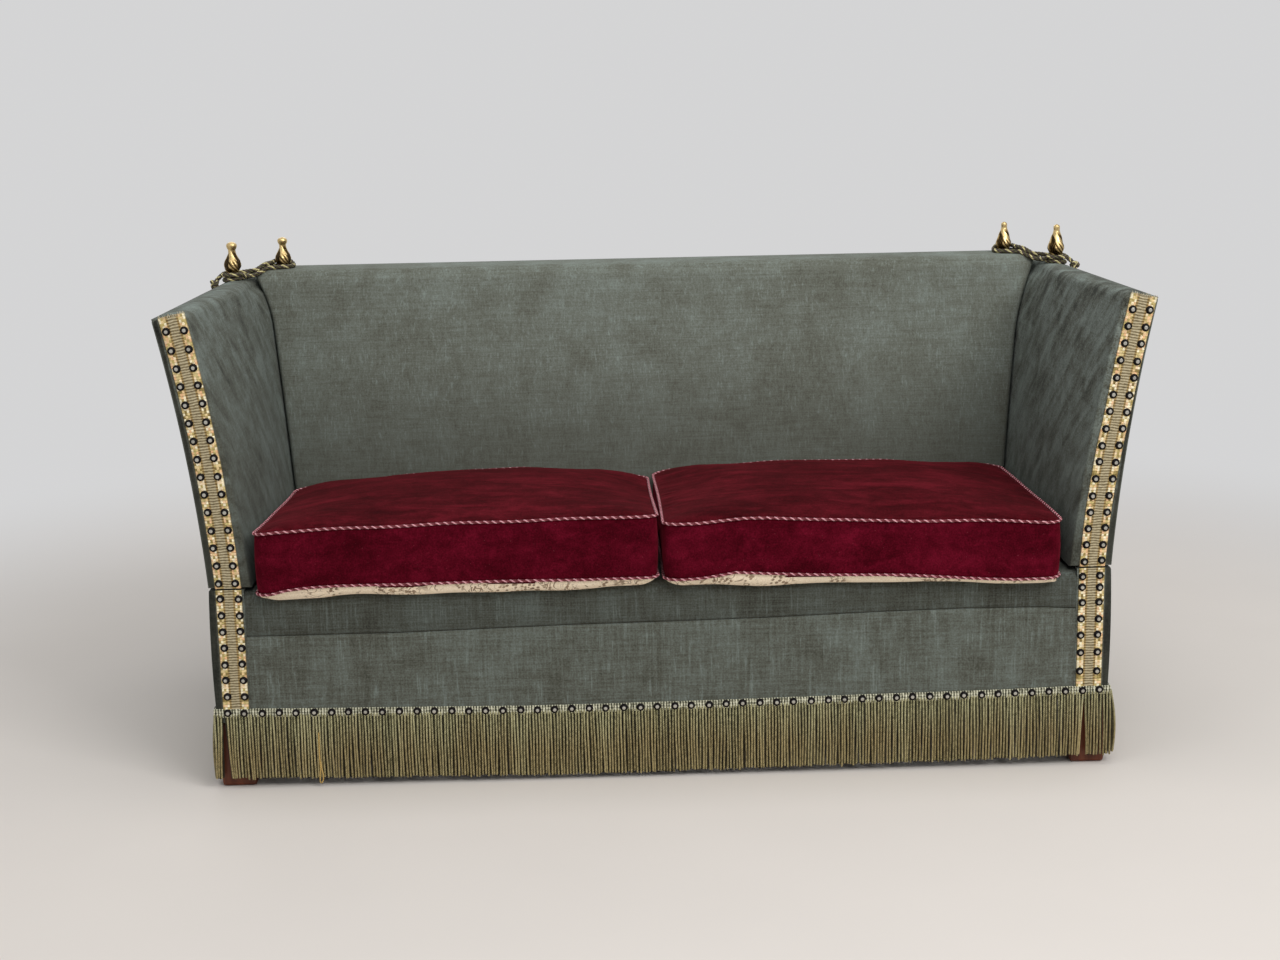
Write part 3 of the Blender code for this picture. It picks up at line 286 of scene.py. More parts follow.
def twisted(build, path, diameter, strands, lay, sides, step, loop=False):
    """Strands laid round each other along the path, each with its own finish."""
    path, along = resample(path, step)
    if loop:
        path, along = path[:-1], along[:-1]
        lay = along[-1] / max(1, round(along[-1] / lay))
    first, second = carried_frames(path, loop)
    # Strands are soft, so each is a little thicker than round ones that just touch
    size = diameter / 2 / (1 + 1 / math.sin(math.pi / strands)) * 1.06
    away = diameter / 2 - size
    angles = full_turn(sides)
    for strand in range(strands):
        turn = 2 * math.pi * (along / lay + strand / strands)
        outward = first * np.cos(turn)[:, None] + second * np.sin(turn)[:, None]
        middle = path + away * outward
        ahead = np.roll(middle, -1, 0) - np.roll(middle, 1, 0) if loop else np.gradient(middle, axis=0)
        ahead /= np.linalg.norm(ahead, axis=1, keepdims=True)
        outward = outward - (outward * ahead).sum(1, keepdims=True) * ahead
        outward /= np.linalg.norm(outward, axis=1, keepdims=True)
        beside = np.cross(ahead, outward)
        ring = outward[:, None] * np.cos(angles)[:, None] + beside[:, None] * np.sin(angles)[:, None]
        spots = middle[:, None] + size * ring
        if loop:
            spots = np.concatenate([spots, spots[:1]])
            vs = np.append(along, along[-1] + step)
        else:
            vs = along
        build.grid(spots, np.linspace(0, 1, sides + 1), vs, True, strand, caps=not loop)


# Materials


class Finish:
    """A node material, built from short calls that return sockets."""

    def __init__(self, name):
        self.material = bpy.data.materials.new(name)
        self.material.use_nodes = True
        self.tree = self.material.node_tree
        self.shader = self.tree.nodes["Principled BSDF"]

    def node(self, kind, inputs=(), **settings):
        made = self.tree.nodes.new(kind)
        for name, value in settings.items():
            setattr(made, name, value)
        for key, value in dict(inputs).items():
            self.feed(made.inputs[key], value)
        return made

    def feed(self, socket, value):
        """Links a socket's value to the socket, or sets a plain one there."""
        if isinstance(value, bpy.types.NodeSocket):
            self.tree.links.new(value, socket)
        else:
            socket.default_value = value

    def coords(self, scale=(1, 1, 1), turn=(0, 0, 0), uv=False):
        found = self.node("ShaderNodeTexCoord").outputs["UV" if uv else "Object"]
        turned = self.node("ShaderNodeMapping", {"Vector": found, "Rotation": turn}).outputs[0]
        return self.node("ShaderNodeMapping", {"Vector": turned, "Scale": scale}).outputs[0]

    def noise(self, vector, scale, detail=2.0, rough=0.5, distortion=0.0):
        inputs = {"Vector": vector, "Scale": scale, "Detail": detail, "Roughness": rough,
                  "Distortion": distortion}
        return self.node("ShaderNodeTexNoise", inputs).outputs[0]

    def grain(self, scale, detail=2.0, rough=0.5, distortion=0.0):
        """Noise alike in every direction, as fine as the scale says."""
        return self.noise(self.coords(), scale, detail, rough, distortion)

    def math(self, operation, first, second=0.5, third=0.0):
        return self.node("ShaderNodeMath", {0: first, 1: second, 2: third}, operation=operation).outputs[0]

    def span(self, value, low, high, to_low=0.0, to_high=1.0):
        inputs = {"Value": value, "From Min": low, "From Max": high, "To Min": to_low, "To Max": to_high}
        return self.node("ShaderNodeMapRange", inputs).outputs[0]

    def light(self, *parts):
        """1 plus how far each value stands from its middle, times its weight."""
        total = 1.0
        for value, weight in parts:
            total = self.math("MULTIPLY_ADD", self.minus(value, 0.5), weight, total)
        return self.math("MAXIMUM", total, 0.25)

    def plus(self, first, second):
        return self.math("ADD", first, second)

    def minus(self, first, second):
        return self.math("SUBTRACT", first, second)

    def times(self, first, second):
        return self.math("MULTIPLY", first, second)

    def wave(self, value, pitch):
        """0 to 1 and back over each pitch of the value."""
        return self.span(self.math("SINE", self.times(value, 2 * math.pi / pitch)), -1, 1)

    def wound(self, lay):
        """0 to 1 and back round a strand and along it, as its plies wind. UVs run round it and along it."""
        u, v = self.uv()
        return self.wave(self.plus(self.math("DIVIDE", v, lay), self.times(u, 3.0)), 1.0)

    def even(self, first, second):
        """The two values in equal parts."""
        return self.plus(self.times(first, 0.5), self.times(second, 0.5))

    def split(self, vector):
        return self.node("ShaderNodeSeparateXYZ", {0: vector}).outputs

    def uv(self):
        """The mesh's own coordinates, across or round it and along it."""
        return self.split(self.coords(uv=True))[:2]

    def tone(self):
        return self.node("ShaderNodeAttribute", attribute_name="tone").outputs["Fac"]

    def colours(self, value, *stops):
        made = self.node("ShaderNodeValToRGB", {0: value})
        ramp = made.color_ramp
        while len(ramp.elements) < len(stops):
            ramp.elements.new(0.5)
        for element, (place, colour) in zip(ramp.elements, stops):
            element.position = place
            element.color = (*colour, 1)
        return made.outputs[0]

    def blend(self, share, first, second, kind="MIX"):
        made = self.node("ShaderNodeMix", {0: share}, data_type="RGBA", blend_type=kind)
        for socket, value in ((made.inputs[6], first), (made.inputs[7], second)):
            self.feed(socket, value if isinstance(value, bpy.types.NodeSocket) else (*value, 1))
        return made.outputs[2]

    def bump(self, height, distance, strength=1.0, normal=None):
        inputs = {"Height": height, "Distance": distance, "Strength": strength}
        if normal is not None:
            inputs["Normal"] = normal
        return self.node("ShaderNodeBump", inputs).outputs[0]

    def finish(self, colour, rough, normal=None, metallic=0.0, specular=0.5, sheen=0.0, sheen_rough=0.4,
               sheen_tint=(1, 1, 1)):
        values = {"Base Color": colour, "Roughness": rough, "Metallic": metallic,
                  "Specular IOR Level": specular, "Sheen Weight": sheen, "Sheen Roughness": sheen_rough,
                  "Sheen Tint": (*sheen_tint, 1)}
        if normal is not None:
            values["Normal"] = normal
        for name, value in values.items():
            self.feed(self.shader.inputs[name], value)
        return self.material


def velour(name, nap_turn, nap_scale, clouds, grain, slub, shade=1.0, low=None, edge=False, calm=False):
    """Brushed velour: drifts of nap laid light and dark, slubs up and across, a fine pile. shade darkens the
    whole colour, painted shade for a part that gets less light. low gives the heights over which it turns
    darker and browner towards the bottom, painted shade near the cushions with a browner nap low down. edge
    puts a dark strip round the outer front, painted shade where the fabric turns the corner. calm evens out
    the drifts on an arm's outer face."""
    f = Finish(name)
    # shade is painted shade: the same velour drawn darker on a part that gets less light.
    dull = tuple(shade * part for part in (0.150, 0.154, 0.122))
    fresh = tuple(shade * part for part in (0.150, 0.172, 0.152))
    nap = f.noise(f.coords(nap_scale, nap_turn), 1.0, 4.0, 0.6, 0.4)
    patch = f.grain(30, 3.0, 0.62, 0.6)
    cloud = f.grain(5.0, 3.0, 0.6, 0.6)
    speck = f.grain(330, 2.0, 0.75)
    upright = f.noise(f.coords((290, 290, 16)), 1.0, 2.0, 0.65)
    level = f.noise(f.coords((14, 14, 340)), 1.0, 2.0, 0.65)
    light = f.light((nap, 1.9 * clouds), (patch, 1.1 * clouds), (cloud, 0.35 + 0.5 * clouds),
                    (speck, 1.5 * grain), (upright, 1.1 * slub), (level, 1.1 * slub))
    thread = f.times(f.span(upright, 0.585, 0.66), f.span(patch, 0.44, 0.60))
    light = f.math("MULTIPLY_ADD", thread, 0.42 * slub, light)
    if calm:
        turn = f.uv()[0]
        keep = f.math("MAXIMUM", f.span(turn, 0.9, 1.0, 1.0, 0.42), f.span(turn, 1.33, 1.40, 0.42, 1.0))
        light = f.math("MULTIPLY_ADD", f.minus(light, 1.0), keep, 1.0)
    # Painted shade: a dark strip along the outer front, where the fabric turns the corner.
    if edge:
        depth = f.uv()[0]
        light = f.times(light, f.span(depth, 0.0095, 0.0120, 0.30, 1.0))
    ground = f.blend(f.span(light, 0.75, 1.35), dull, fresh)
    colour = f.blend(1.0, ground, light, "MULTIPLY")
    # Painted shade near the cushions: darker and browner towards the bottom, with a browner nap low down.
    if low is not None:
        drop = f.span(f.split(f.coords())[2], low[1], low[0])
        drop = f.times(drop, f.span(cloud, 0.2, 0.8, 0.75, 1.1))
        colour = f.blend(f.times(drop, 0.6), colour, tuple(0.48 * part for part in dull))
    height = f.plus(f.times(speck, 0.5), f.times(upright, 0.5 * slub))
    normal = f.bump(height, 0.0009, 0.5, f.bump(nap, 0.0020, 0.4))
    return f.finish(colour, 0.90, normal, specular=0.12, sheen=0.10, sheen_rough=0.45,
                    sheen_tint=(0.70, 0.82, 0.76))


def velvet(name, deep, bright, glow, drift=1.0):
    """Red velvet: drifts of pile, a few flecks of lint. glow is the colour of its bloom at a low angle."""
    f = Finish(name)
    brushed = f.noise(f.coords((9, 26, 26), (0, 0, 0.12)), 1.0, 3.0, 0.6, 0.8)
    patch = f.grain(38, 3.0, 0.6, 0.8)
    cloud = f.grain(7, 2.0)
    speck = f.grain(340, 2.0, 0.75)
    light = f.light((brushed, 0.9 * drift), (patch, 0.9), (cloud, 0.6 * drift), (speck, 1.2))
    colour = f.blend(1.0, f.blend(f.span(light, 0.8, 1.4), deep, bright), light, "MULTIPLY")
    fleck = f.span(f.grain(300, 2.0, 0.7), 0.70, 0.76)
    colour = f.blend(f.times(fleck, 0.35), colour, (0.40, 0.10, 0.12))
    normal = f.bump(speck, 0.0008, 0.5, f.bump(brushed, 0.0024, 0.35))
    return f.finish(colour, 0.95, normal, specular=0.03, sheen=0.14, sheen_rough=0.40, sheen_tint=glow)


def printed_linen():
    """Cream lining with small brown leafy sprigs."""
    f = Finish("printed_linen")
    place = f.coords()
    stem = f.noise(place, 26.0, 2.0, 0.5, 2.2)
    stems = f.span(f.math("ABSOLUTE", f.minus(stem, 0.5)), 0.034, 0.014)
    where = f.span(f.noise(place, 15.0, 1.0, 0.5), 0.47, 0.53)
    leaf = f.node("ShaderNodeTexVoronoi", {"Vector": f.coords((120, 120, 210), (0.6, 0.3, 0.5)),
                                           "Scale": 1.0})
    leaves = f.times(f.span(leaf.outputs["Distance"], 0.46, 0.34), f.span(f.noise(place, 22, 1), 0.50, 0.56))
    print_ = f.math("MAXIMUM", f.times(stems, where), leaves)
    weave = f.grain(420, 2.0)
    ground = f.colours(weave, (0.3, (0.84, 0.68, 0.49)), (0.7, (0.98, 0.85, 0.66)))
    brown = f.colours(f.noise(place, 70, 1), (0.35, (0.16, 0.090, 0.050)), (0.65, (0.36, 0.245, 0.150)))
    colour = f.blend(f.times(print_, 0.9), ground, brown)
    return f.finish(colour, 0.85, f.bump(weave, 0.0004, 0.5), specular=0.15)


def strand_finish(name, dark, light, stripe=0.0032, sheen=0.25):
    """Spun thread: fine fibres that wind along the strand, worn paler in places."""
    f = Finish(name)
    fibre = f.wound(stripe)
    worn = f.grain(160, 2.0)
    share = f.plus(f.times(fibre, 0.65), f.times(worn, 0.5))
    colour = f.colours(share, (0.25, dark), (0.85, light))
    return f.finish(colour, 0.6, f.bump(fibre, 0.0003, 0.6), specular=0.35, sheen=sheen)


def fringe_finish():
    """Bullion strands: tone 0 to 1 runs from near-black brown-olive, painted shade on the back layer's
    strands, to pale gold-green.
    """
    f = Finish("bullion_strands")
    ply = f.wound(0.0033)
    worn = f.grain(230, 2.0, 0.7)
    height = f.split(f.coords())[2]
    tone = f.tone()
    # The plies' winding lights the colour in dots along each strand: painted highlights on the twist.
    share = f.plus(f.times(ply, 0.46), f.times(tone, 0.72))
    share = f.plus(share, f.times(f.minus(worn, 0.5), 1.0))
    green = f.colours(share, (0.15, (0.009, 0.008, 0.003)), (0.50, (0.120, 0.112, 0.046)),
                      (0.95, (0.54, 0.50, 0.28)))
    gold = f.colours(share, (0.15, (0.008, 0.005, 0.0015)), (0.50, (0.098, 0.070, 0.024)),
                     (0.95, (0.44, 0.335, 0.15)))
    drift = f.span(f.noise(f.coords((30, 30, 3)), 1.0), 0.3, 0.7, -0.35, 0.35)
    lower = f.plus(f.span(height, 0.125, 0.055), drift)
    colour = f.blend(f.times(f.math("MINIMUM", f.math("MAXIMUM", lower, 0.0), 1.0), 0.8), green, gold)
    return f.finish(colour, 0.60, f.bump(ply, 0.0005, 0.6), specular=0.25, sheen=0.08,
                    sheen_tint=(0.9, 0.9, 0.7))


def header_finish():
    """Woven header of the fringe: pale upright threads over dark picks."""
    f = Finish("fringe_header")
    u, v = f.uv()
    loop, pick = f.wave(u, 0.0048), f.wave(v, 0.0050)
    patch = f.noise(f.coords((260, 260, 130)), 1.0, 3.0, 0.7)
    share = f.light((loop, 0.75), (pick, 0.30), (patch, 2.2))
    colour = f.colours(f.times(share, 0.5), (0.22, (0.016, 0.018, 0.010)), (0.48, (0.21, 0.205, 0.135)),
                       (0.72, (0.72, 0.70, 0.53)))
    return f.finish(colour, 0.66, f.bump(f.times(loop, pick), 0.0012, 0.8), specular=0.2, sheen=0.1)


def gimp_finish():
    """Woven band, u in metres from its outer edge and v along it: ribbed middle, chequered edges."""
    f = Finish("gimp_band")
    u, v = f.uv()
    edge = f.math("MINIMUM", u, f.minus(BAND_WIDTH, u))
    wear = f.grain(210, 3.0, 0.7)
    bent = f.math("MULTIPLY_ADD", f.minus(f.grain(70, 2.0), 0.5), 0.004, v)
    rib = f.wave(bent, 0.0047)
    ribbed = f.light((rib, 0.85), (wear, 1.0))
    grey = f.colours(f.times(ribbed, 0.5), (0.22, (0.105, 0.082, 0.044)), (0.50, (0.34, 0.275, 0.155)),
                     (0.78, (0.58, 0.51, 0.35)))
    gold = f.colours(f.times(ribbed, 0.5), (0.25, (0.115, 0.075, 0.024)), (0.75, (0.45, 0.31, 0.125)))
    middle = f.blend(f.span(edge, 0.0148, 0.0160), gold, grey)
    block_v = f.math("FLOOR", f.math("DIVIDE", v, 0.0048))
    block_u = f.math("FLOOR", f.math("DIVIDE", edge, 0.0042))
    spot = f.node("ShaderNodeCombineXYZ", {0: block_u, 1: block_v, 2: 0.0}).outputs[0]
    pick = f.node("ShaderNodeTexWhiteNoise", {"Vector": spot}).outputs["Value"]
    block = f.colours(pick, (0.0, (0.22, 0.15, 0.045)), (0.22, (0.55, 0.44, 0.17)),
                      (0.45, (0.78, 0.62, 0.32)), (0.68, (0.82, 0.48, 0.25)), (0.90, (0.95, 0.86, 0.60)))
    line = f.math("FRACT", f.math("DIVIDE", v, 0.0048))
    block = f.blend(f.span(line, 0.22, 0.04, 0.0, 0.55), block, (0.17, 0.11, 0.04))
    block = f.blend(1.0, block, f.light((wear, 1.3)), "MULTIPLY")
    colour = f.blend(f.span(edge, 0.0116, 0.0124), block, middle)
    colour = f.blend(f.span(edge, 0.0014, 0.0004, 0.0, 0.7), colour, (0.10, 0.08, 0.04))
    height = f.plus(f.times(rib, 0.6), f.times(wear, 0.4))
    return f.finish(colour, 0.75, f.bump(height, 0.0010, 0.8), specular=0.18, sheen=0.08)


def brass_finish():
    """Antique cast brass: bright where it is rubbed, brown in the hollows, which have tone 0."""
    f = Finish("antique_brass")
    patina = f.grain(130, 4.0, 0.6, 0.4)
    share = f.plus(f.times(f.tone(), 0.9), f.times(f.minus(patina, 0.5), 0.7))
    colour = f.colours(share, (0.16, (0.014, 0.008, 0.003)), (0.46, (0.15, 0.095, 0.034)),
                       (0.80, (0.68, 0.51, 0.24)))
    rough = f.span(share, 0.1, 0.8, 0.60, 0.33)
    pits = f.grain(900, 2.0)
    return f.finish(colour, rough, f.bump(pits, 0.0003, 0.35), metallic=1.0)


def nail_finish():
    """Nail heads, v from 0 at the rim to 7 at the crown: a black rim round a bright crown, painted reflection
    of bright light in front and dark sides, over some tarnish at the rim.
    """
    f = Finish("antique_nails")
    v = f.uv()[1]
    patina = f.grain(260, 3.0, 0.6)
    # Painted reflection: black towards the rim, bright at the crown.
    share = f.plus(f.span(v, 4.3, 5.1, 0.0, 0.86), f.times(f.minus(patina, 0.5), 0.5))
    share = f.math("MULTIPLY_ADD", f.minus(f.tone(), 0.5), 0.22, share)
    colour = f.colours(share, (0.24, (0.004, 0.003, 0.003)), (0.52, (0.15, 0.14, 0.12)),
                       (0.85, (0.55, 0.53, 0.47)))
    return f.finish(colour, f.span(share, 0.1, 0.8, 0.60, 0.22), f.bump(patina, 0.0003, 0.3),
                    metallic=f.span(share, 0.25, 0.55, 0.0, 0.9), specular=0.12)


def wood_finish(name, dark, light, along, rough=0.42, coat=0.0):
    f = Finish(name)
    scale = [38.0] * 3
    scale[along] = 2.4
    grain = f.noise(f.coords(tuple(scale)), 1.0, 4.0, 0.6, 0.5)
    fine = [420.0] * 3
    fine[along] = 9.0
    pore = f.noise(f.coords(tuple(fine)), 1.0, 2.0)
    colour = f.colours(grain, (0.32, dark), (0.68, light))
    colour = f.blend(f.span(pore, 0.55, 0.75, 0, 0.5), colour, tuple(c * 0.45 for c in dark))
    f.shader.inputs["Coat Weight"].default_value = coat
    f.shader.inputs["Coat Roughness"].default_value = 0.25
    return f.finish(colour, rough, f.bump(pore, 0.0003, 0.3), specular=0.25)


def steel_finish():
    f = Finish("plain_steel")
    brushed = f.noise(f.coords((90, 900, 900)), 1.0, 2.0)
    colour = f.colours(brushed, (0.3, (0.30, 0.29, 0.27)), (0.7, (0.52, 0.51, 0.49)))
    return f.finish(colour, f.span(brushed, 0.3, 0.7, 0.30, 0.48), f.bump(brushed, 0.0001, 0.3), metallic=1.0)


def jute_finish():
    f = Finish("jute_webbing")
    u, v = f.uv()
    warp = f.math("SINE", f.times(u, 2 * math.pi / 0.0024))
    weft = f.math("SINE", f.times(v, 2 * math.pi / 0.0030))
    weave = f.span(f.times(warp, weft), -1, 1)
    patch = f.grain(60, 3.0)
    colour = f.colours(f.even(weave, patch), (0.25, (0.20, 0.15, 0.085)), (0.75, (0.46, 0.37, 0.24)))
    red = f.span(f.math("ABSOLUTE", f.minus(f.math("ABSOLUTE", u), 0.017)), 0.0022, 0.0016)
    colour = f.blend(f.times(red, 0.8), colour, (0.30, 0.050, 0.035))
    return f.finish(colour, 0.85, f.bump(weave, 0.0006, 0.7), specular=0.2)


def lining_finish():
    f = Finish("black_cotton")
    weave = f.noise(f.coords((1400, 1400, 400)), 1.0, 1.0)
    patch = f.grain(12, 3.0)
    colour = f.colours(f.even(weave, patch), (0.3, (0.018, 0.018, 0.019)), (0.7, (0.055, 0.054, 0.052)))
    return f.finish(colour, 0.9, f.bump(weave, 0.0003, 0.5), specular=0.2)


def seen_share(tree):
    """1 for what the camera sees, straight or in metal, 0 for what lights the object."""
    path = tree.nodes.new("ShaderNodeLightPath")
    share = path.outputs["Is Camera Ray"]
    for name in ("Is Glossy Ray", "Is Transmission Ray"):
        most = tree.nodes.new("ShaderNodeMath")
        most.operation = "MAXIMUM"
        tree.links.new(share, most.inputs[0])
        tree.links.new(path.outputs[name], most.inputs[1])
        share = most.outputs[0]
    return share


def pale_finish():
    """Floor: a warm pale grey that fades into the surround's colour far from the object."""
    f = Finish("pale_floor")
    patch = f.grain(3.0, 3.0)
    shade = f.blend(1.0, (0.735, 0.685, 0.635), f.span(patch, 0.3, 0.7, 0.98, 1.0), "MULTIPLY")
    made = f.finish(shade, 0.8, specular=0.1)
    away = f.node("ShaderNodeVectorMath", {0: f.coords()}, operation="LENGTH").outputs["Value"]
    far = f.span(away, 1.3, 2.9)
    far = f.times(f.times(far, far), f.minus(3.0, f.times(far, 2.0)))
    glow = f.tree.nodes.new("ShaderNodeEmission")
    glow.inputs["Color"].default_value = (*SURROUND, 1)
    both = f.tree.nodes.new("ShaderNodeMixShader")
    f.tree.links.new(f.times(far, seen_share(f.tree)), both.inputs[0])
    f.tree.links.new(f.shader.outputs[0], both.inputs[1])
    f.tree.links.new(glow.outputs[0], both.inputs[2])
    f.tree.links.new(both.outputs[0], f.tree.nodes["Material Output"].inputs["Surface"])
    return made


# Camera, light and stage


def make_camera():
    data = bpy.data.cameras.new("camera")
    data.sensor_width = 36
    data.lens = 1914 / 1280 * 36
    camera = placed("camera", data)
    right = Vector((0.99937799, -0.02985586, -0.01876883))
    down = Vector((-0.02461729, -0.20952586, -0.97749317))
    ahead = Vector((0.02525135, 0.9773472, -0.2101305))
    turn = Matrix((right, -down, -ahead)).transposed().to_4x4()
    camera.matrix_world = Matrix.Translation((-0.118, FRONT_Y - 3.184, 1.218)) @ turn
    bpy.context.scene.camera = camera


def lamp(name, place, target, size, power):
    data = bpy.data.lights.new(name, "AREA")
    data.shape = "RECTANGLE"
    data.size, data.size_y = size
    data.energy = power
    made = placed(name, data)
    made.location = place
    made.rotation_euler = (Vector(target) - Vector(place)).to_track_quat("-Z", "Y").to_euler()


def make_stage():
    """Round pale floor, soft lamps and a pale surround."""
    build = Build()
    turns = full_turn(48)
    radii = (0.001, 2.0, 5.0, 9.0, 14.0)
    points = np.array([[(r * math.cos(t), r * math.sin(t), 0) for t in turns] for r in radii])
    build.grid(points, range(49), range(5), True)
    floor = build.piece("floor", pale_finish(), sharp=80)
    lamp("key", (2.5, -3.3, 3.5), (-0.1, 0.0, 0.45), (2.2, 2.0), 105)
    lamp("front", (0.3, -4.0, 3.9), (0.0, 0.0, 0.5), (3.0, 2.0), 55)
    lamp("fill", (-3.6, -3.2, 2.4), (0.0, 0.0, 0.4), (2.6, 2.6), 8)
    lamp("top", (0.0, -0.5, 4.2), (0.0, 0.0, 0.0), (4.0, 2.6), 58)
    lamp("rear", (-1.0, 4.4, 3.0), (0.0, 0.2, 0.4), (3.4, 2.2), 34)
    world = bpy.data.worlds.new("surround")
    world.use_nodes = True
    tree = world.node_tree
    light = tree.nodes["Background"]
    light.inputs["Color"].default_value = (0.93, 0.96, 1.0, 1)
    light.inputs["Strength"].default_value = 0.33
    seen = tree.nodes.new("ShaderNodeBackground")
    seen.inputs["Color"].default_value = (*SURROUND, 1)
    both = tree.nodes.new("ShaderNodeMixShader")
    tree.links.new(seen_share(tree), both.inputs[0])
    tree.links.new(light.outputs[0], both.inputs[1])
    tree.links.new(seen.outputs[0], both.inputs[2])
    tree.links.new(both.outputs[0], tree.nodes["World Output"].inputs["Surface"])
    bpy.context.scene.world = world
    bpy.context.scene.view_settings.view_transform = "Standard"


# The arm's shape


def arm_height(back):
    return mix(0.826, 0.828, back / ARM_LENGTH) - SEAM


def arm_place(side, back, lift, depth):
    """Point of an arm. Deeper points lie higher, square to the flare."""
    height = arm_height(back)
    rise, along = lift / height, back / ARM_LENGTH
    curve, flare = mix(0.55, 0.25, along), mix(0.065, 0.036, along)
    outer = BASE_HALF + flare * ((1 - curve) * rise + curve * rise**2)
    slope = flare * (1 - curve + 2 * curve * rise) / height
    return Vector((side * (outer - depth), FRONT_Y + back, SEAM + lift + depth * rise * slope))


def ear(side, back, lift):
    """How far the back's top corner pushes the arm's padding outward. The left one is smaller."""
    push, reach = (0.0230, 0.140) if side > 0 else (0.0205, 0.090)
    near = max(0.0, 1 - (arm_height(back) - lift) / reach)
    return push * near**1.8 * float(smooth(back, 0.40, 0.56))


def arm_thick(side, back, lift):
    along, rise = back / ARM_LENGTH, lift / arm_height(back)
    return mix(mix(0.074, 0.079, along), mix(0.057, 0.069, along), rise) - ear(side, back, lift)


def arm_ring(side, back, inset):
    """Outline of the arm at a place along it, drawn in by inset: up the outer face, over, down the pad."""
    height = arm_height(back)
    top, foot = height - inset, SEAM_HALF + inset
    crown = 0.0075 * math.sin(math.pi * min(1, max(0, back) / 0.5)) ** 0.8
    outer_round, roll = 0.0065, mix(0.016, 0.019, min(1, max(0, back / ARM_LENGTH)))
    spots = [(inset, lift) for lift in np.linspace(foot, top - outer_round, 26)]
    spots += [(inset + near, top - far) for near, far in quarter(outer_round, 6)[1:]]
    inner_top = arm_thick(side, back, height) - inset
    for share in np.linspace(0, 1, 8)[1:]:
        across = mix(inset + outer_round, inner_top - roll, share)
        spots.append((across, top + 0.0016 * math.sin(math.pi * share)))
    spots += [(inner_top - far, top - near) for near, far in quarter(roll, 8)[1:]]
    for lift in np.linspace(top - roll, foot, 34)[1:]:
        share = (lift - foot) / (top - roll - foot)
        spots.append((arm_thick(side, back, lift) - inset + crown * math.sin(math.pi * share) ** 0.8, lift))
    spots.append((arm_thick(side, back, 0) / 2, foot))
    return [arm_place(side, back, lift, depth) for depth, lift in spots], spots


def make_arm(side_name, side, finishes):
    body = f"arm_{side_name}"
    build = Build()
    ends = 0.0055
    corner = quarter(ends, 6)[::-1]
    places, insets = [far for near, far in corner], [near * 0.55 for near, far in corner]
    middle = list(np.linspace(ends, ARM_LENGTH - ends, 64))
    stations = places[:-1] + middle + [ARM_LENGTH - p for p in places[:-1]][::-1]
    drawn = insets[:-1] + [0.0] * len(middle) + insets[:-1][::-1]
    rings = np.array([[tuple(p) for p in arm_ring(side, back, inset)[0]] for back,
                      inset in zip(stations, drawn)])
    # The front cap's UVs are depth and lift, so the velour's dark edge strip of painted shade falls along its
    # outer side.
    front = np.array(arm_ring(side, 0, drawn[0])[1])
    build.grid(rings, np.linspace(1, 2, rings.shape[1] + 1), stations, True, caps=True, flip=side < 0,
               cap_uvs=front)
    skin = build.piece(f"arm_skin_{side_name}", finishes[f"arm_{side_name}"], 50, body, "velour",
                       (f"arm_pad_{side_name}", f"arm_cover_{side_name}"))
    # A thin dark cord closes the seam along the outer top edge
    build = Build()
    backs = np.linspace(0.004, ARM_LENGTH - 0.004, 50)
    line = [arm_place(side, back, arm_height(back) - 0.0016, 0.0016) for back in backs]
    build.tubes(np.array([[tuple(p) for p in line]]), 0.0013, 6, normal=(1, 0, 0))
    build.piece(f"arm_welt_{side_name}", finishes["welt"], 50, body, "velour")


# The back, the base and what trims them


def back_face(height):
    return 0.525 + (height - 0.45) * 0.176


def back_rear(height):
    return mix(BASE_DEPTH, BACK_REACH, max(0, height - SEAM) / (BACK_HEIGHT - SEAM))


def back_half(side, back, height):
    """The back's width on one side at a height: what the arm leaves."""
    lift = max(0.0, height - SEAM)
    thick = arm_thick(side, back, lift)
    return min(arm_place(1, back, lift, thick).x, arm_place(1, back, lift, 0).x - thick) - 0.0036


def back_ring(across, inset):
    """Outline of the back at a share of its width: up the padded face, over the top, down the rear."""
    top = BACK_CREST - inset
    crown = 0.0105 * (1 - abs(across) ** 4)
    roll = 0.014
    spots = []
    for height in np.linspace(PAD_FOOT, top - roll, 44):
        share = (height - PAD_FOOT) / (top - roll - PAD_FOOT)
        spots.append((back_face(height) - crown * math.sin(math.pi * share) ** 0.85 + inset, height))
    near = back_face(top) + inset
    spots += [(near + along, top - down) for along, down in quarter(roll, 9)[1:]]
    far, edge = back_rear(top) - inset, 0.005
    for share in np.linspace(0, 1, 6)[1:]:
        spots.append((mix(near + roll, far - edge, share), top + 0.0012 * math.sin(math.pi * share)))
    spots += [(far - along, top - down) for down, along in quarter(edge, 5)[1:]]
    spots += [(back_rear(height) - inset, height) for height in np.linspace(top - edge, FOOT_HEIGHT, 40)[1:]]
    spots.append((BASE_DEPTH - 0.006, FOOT_HEIGHT))
    spots.append((BASE_DEPTH - 0.006, PAD_FOOT))
    return spots


def make_back(finishes):
    build = Build()
    ends = 0.009
    corner = quarter(ends, 8)
    stations = [(-1, far, near) for near, far in corner[::-1]]
    stations += [(share, ends, 0.0) for share in np.linspace(-1, 1, 90)[1:-1]]
    stations += [(1, far, near) for near, far in corner]
    rings = []
    for share, edge, inset in stations:
        ring = []
        for back, height in back_ring(share, inset):
            half, pull = back_half(share, back, height), 1.0
            if height < SEAM:
                half, pull = min(half, REAR_HALF + 0.0002), 0.12
                back += inset * (1 - pull) if back > 0.6 else 0.0
            ring.append((share * (half - edge * pull), FRONT_Y + back, height))
        rings.append(ring)
    build.loft(rings, flip=True)
    skin = build.piece("back_skin", finishes["back"], 50, "base", "velour", ("back_pad", "back_cover"))


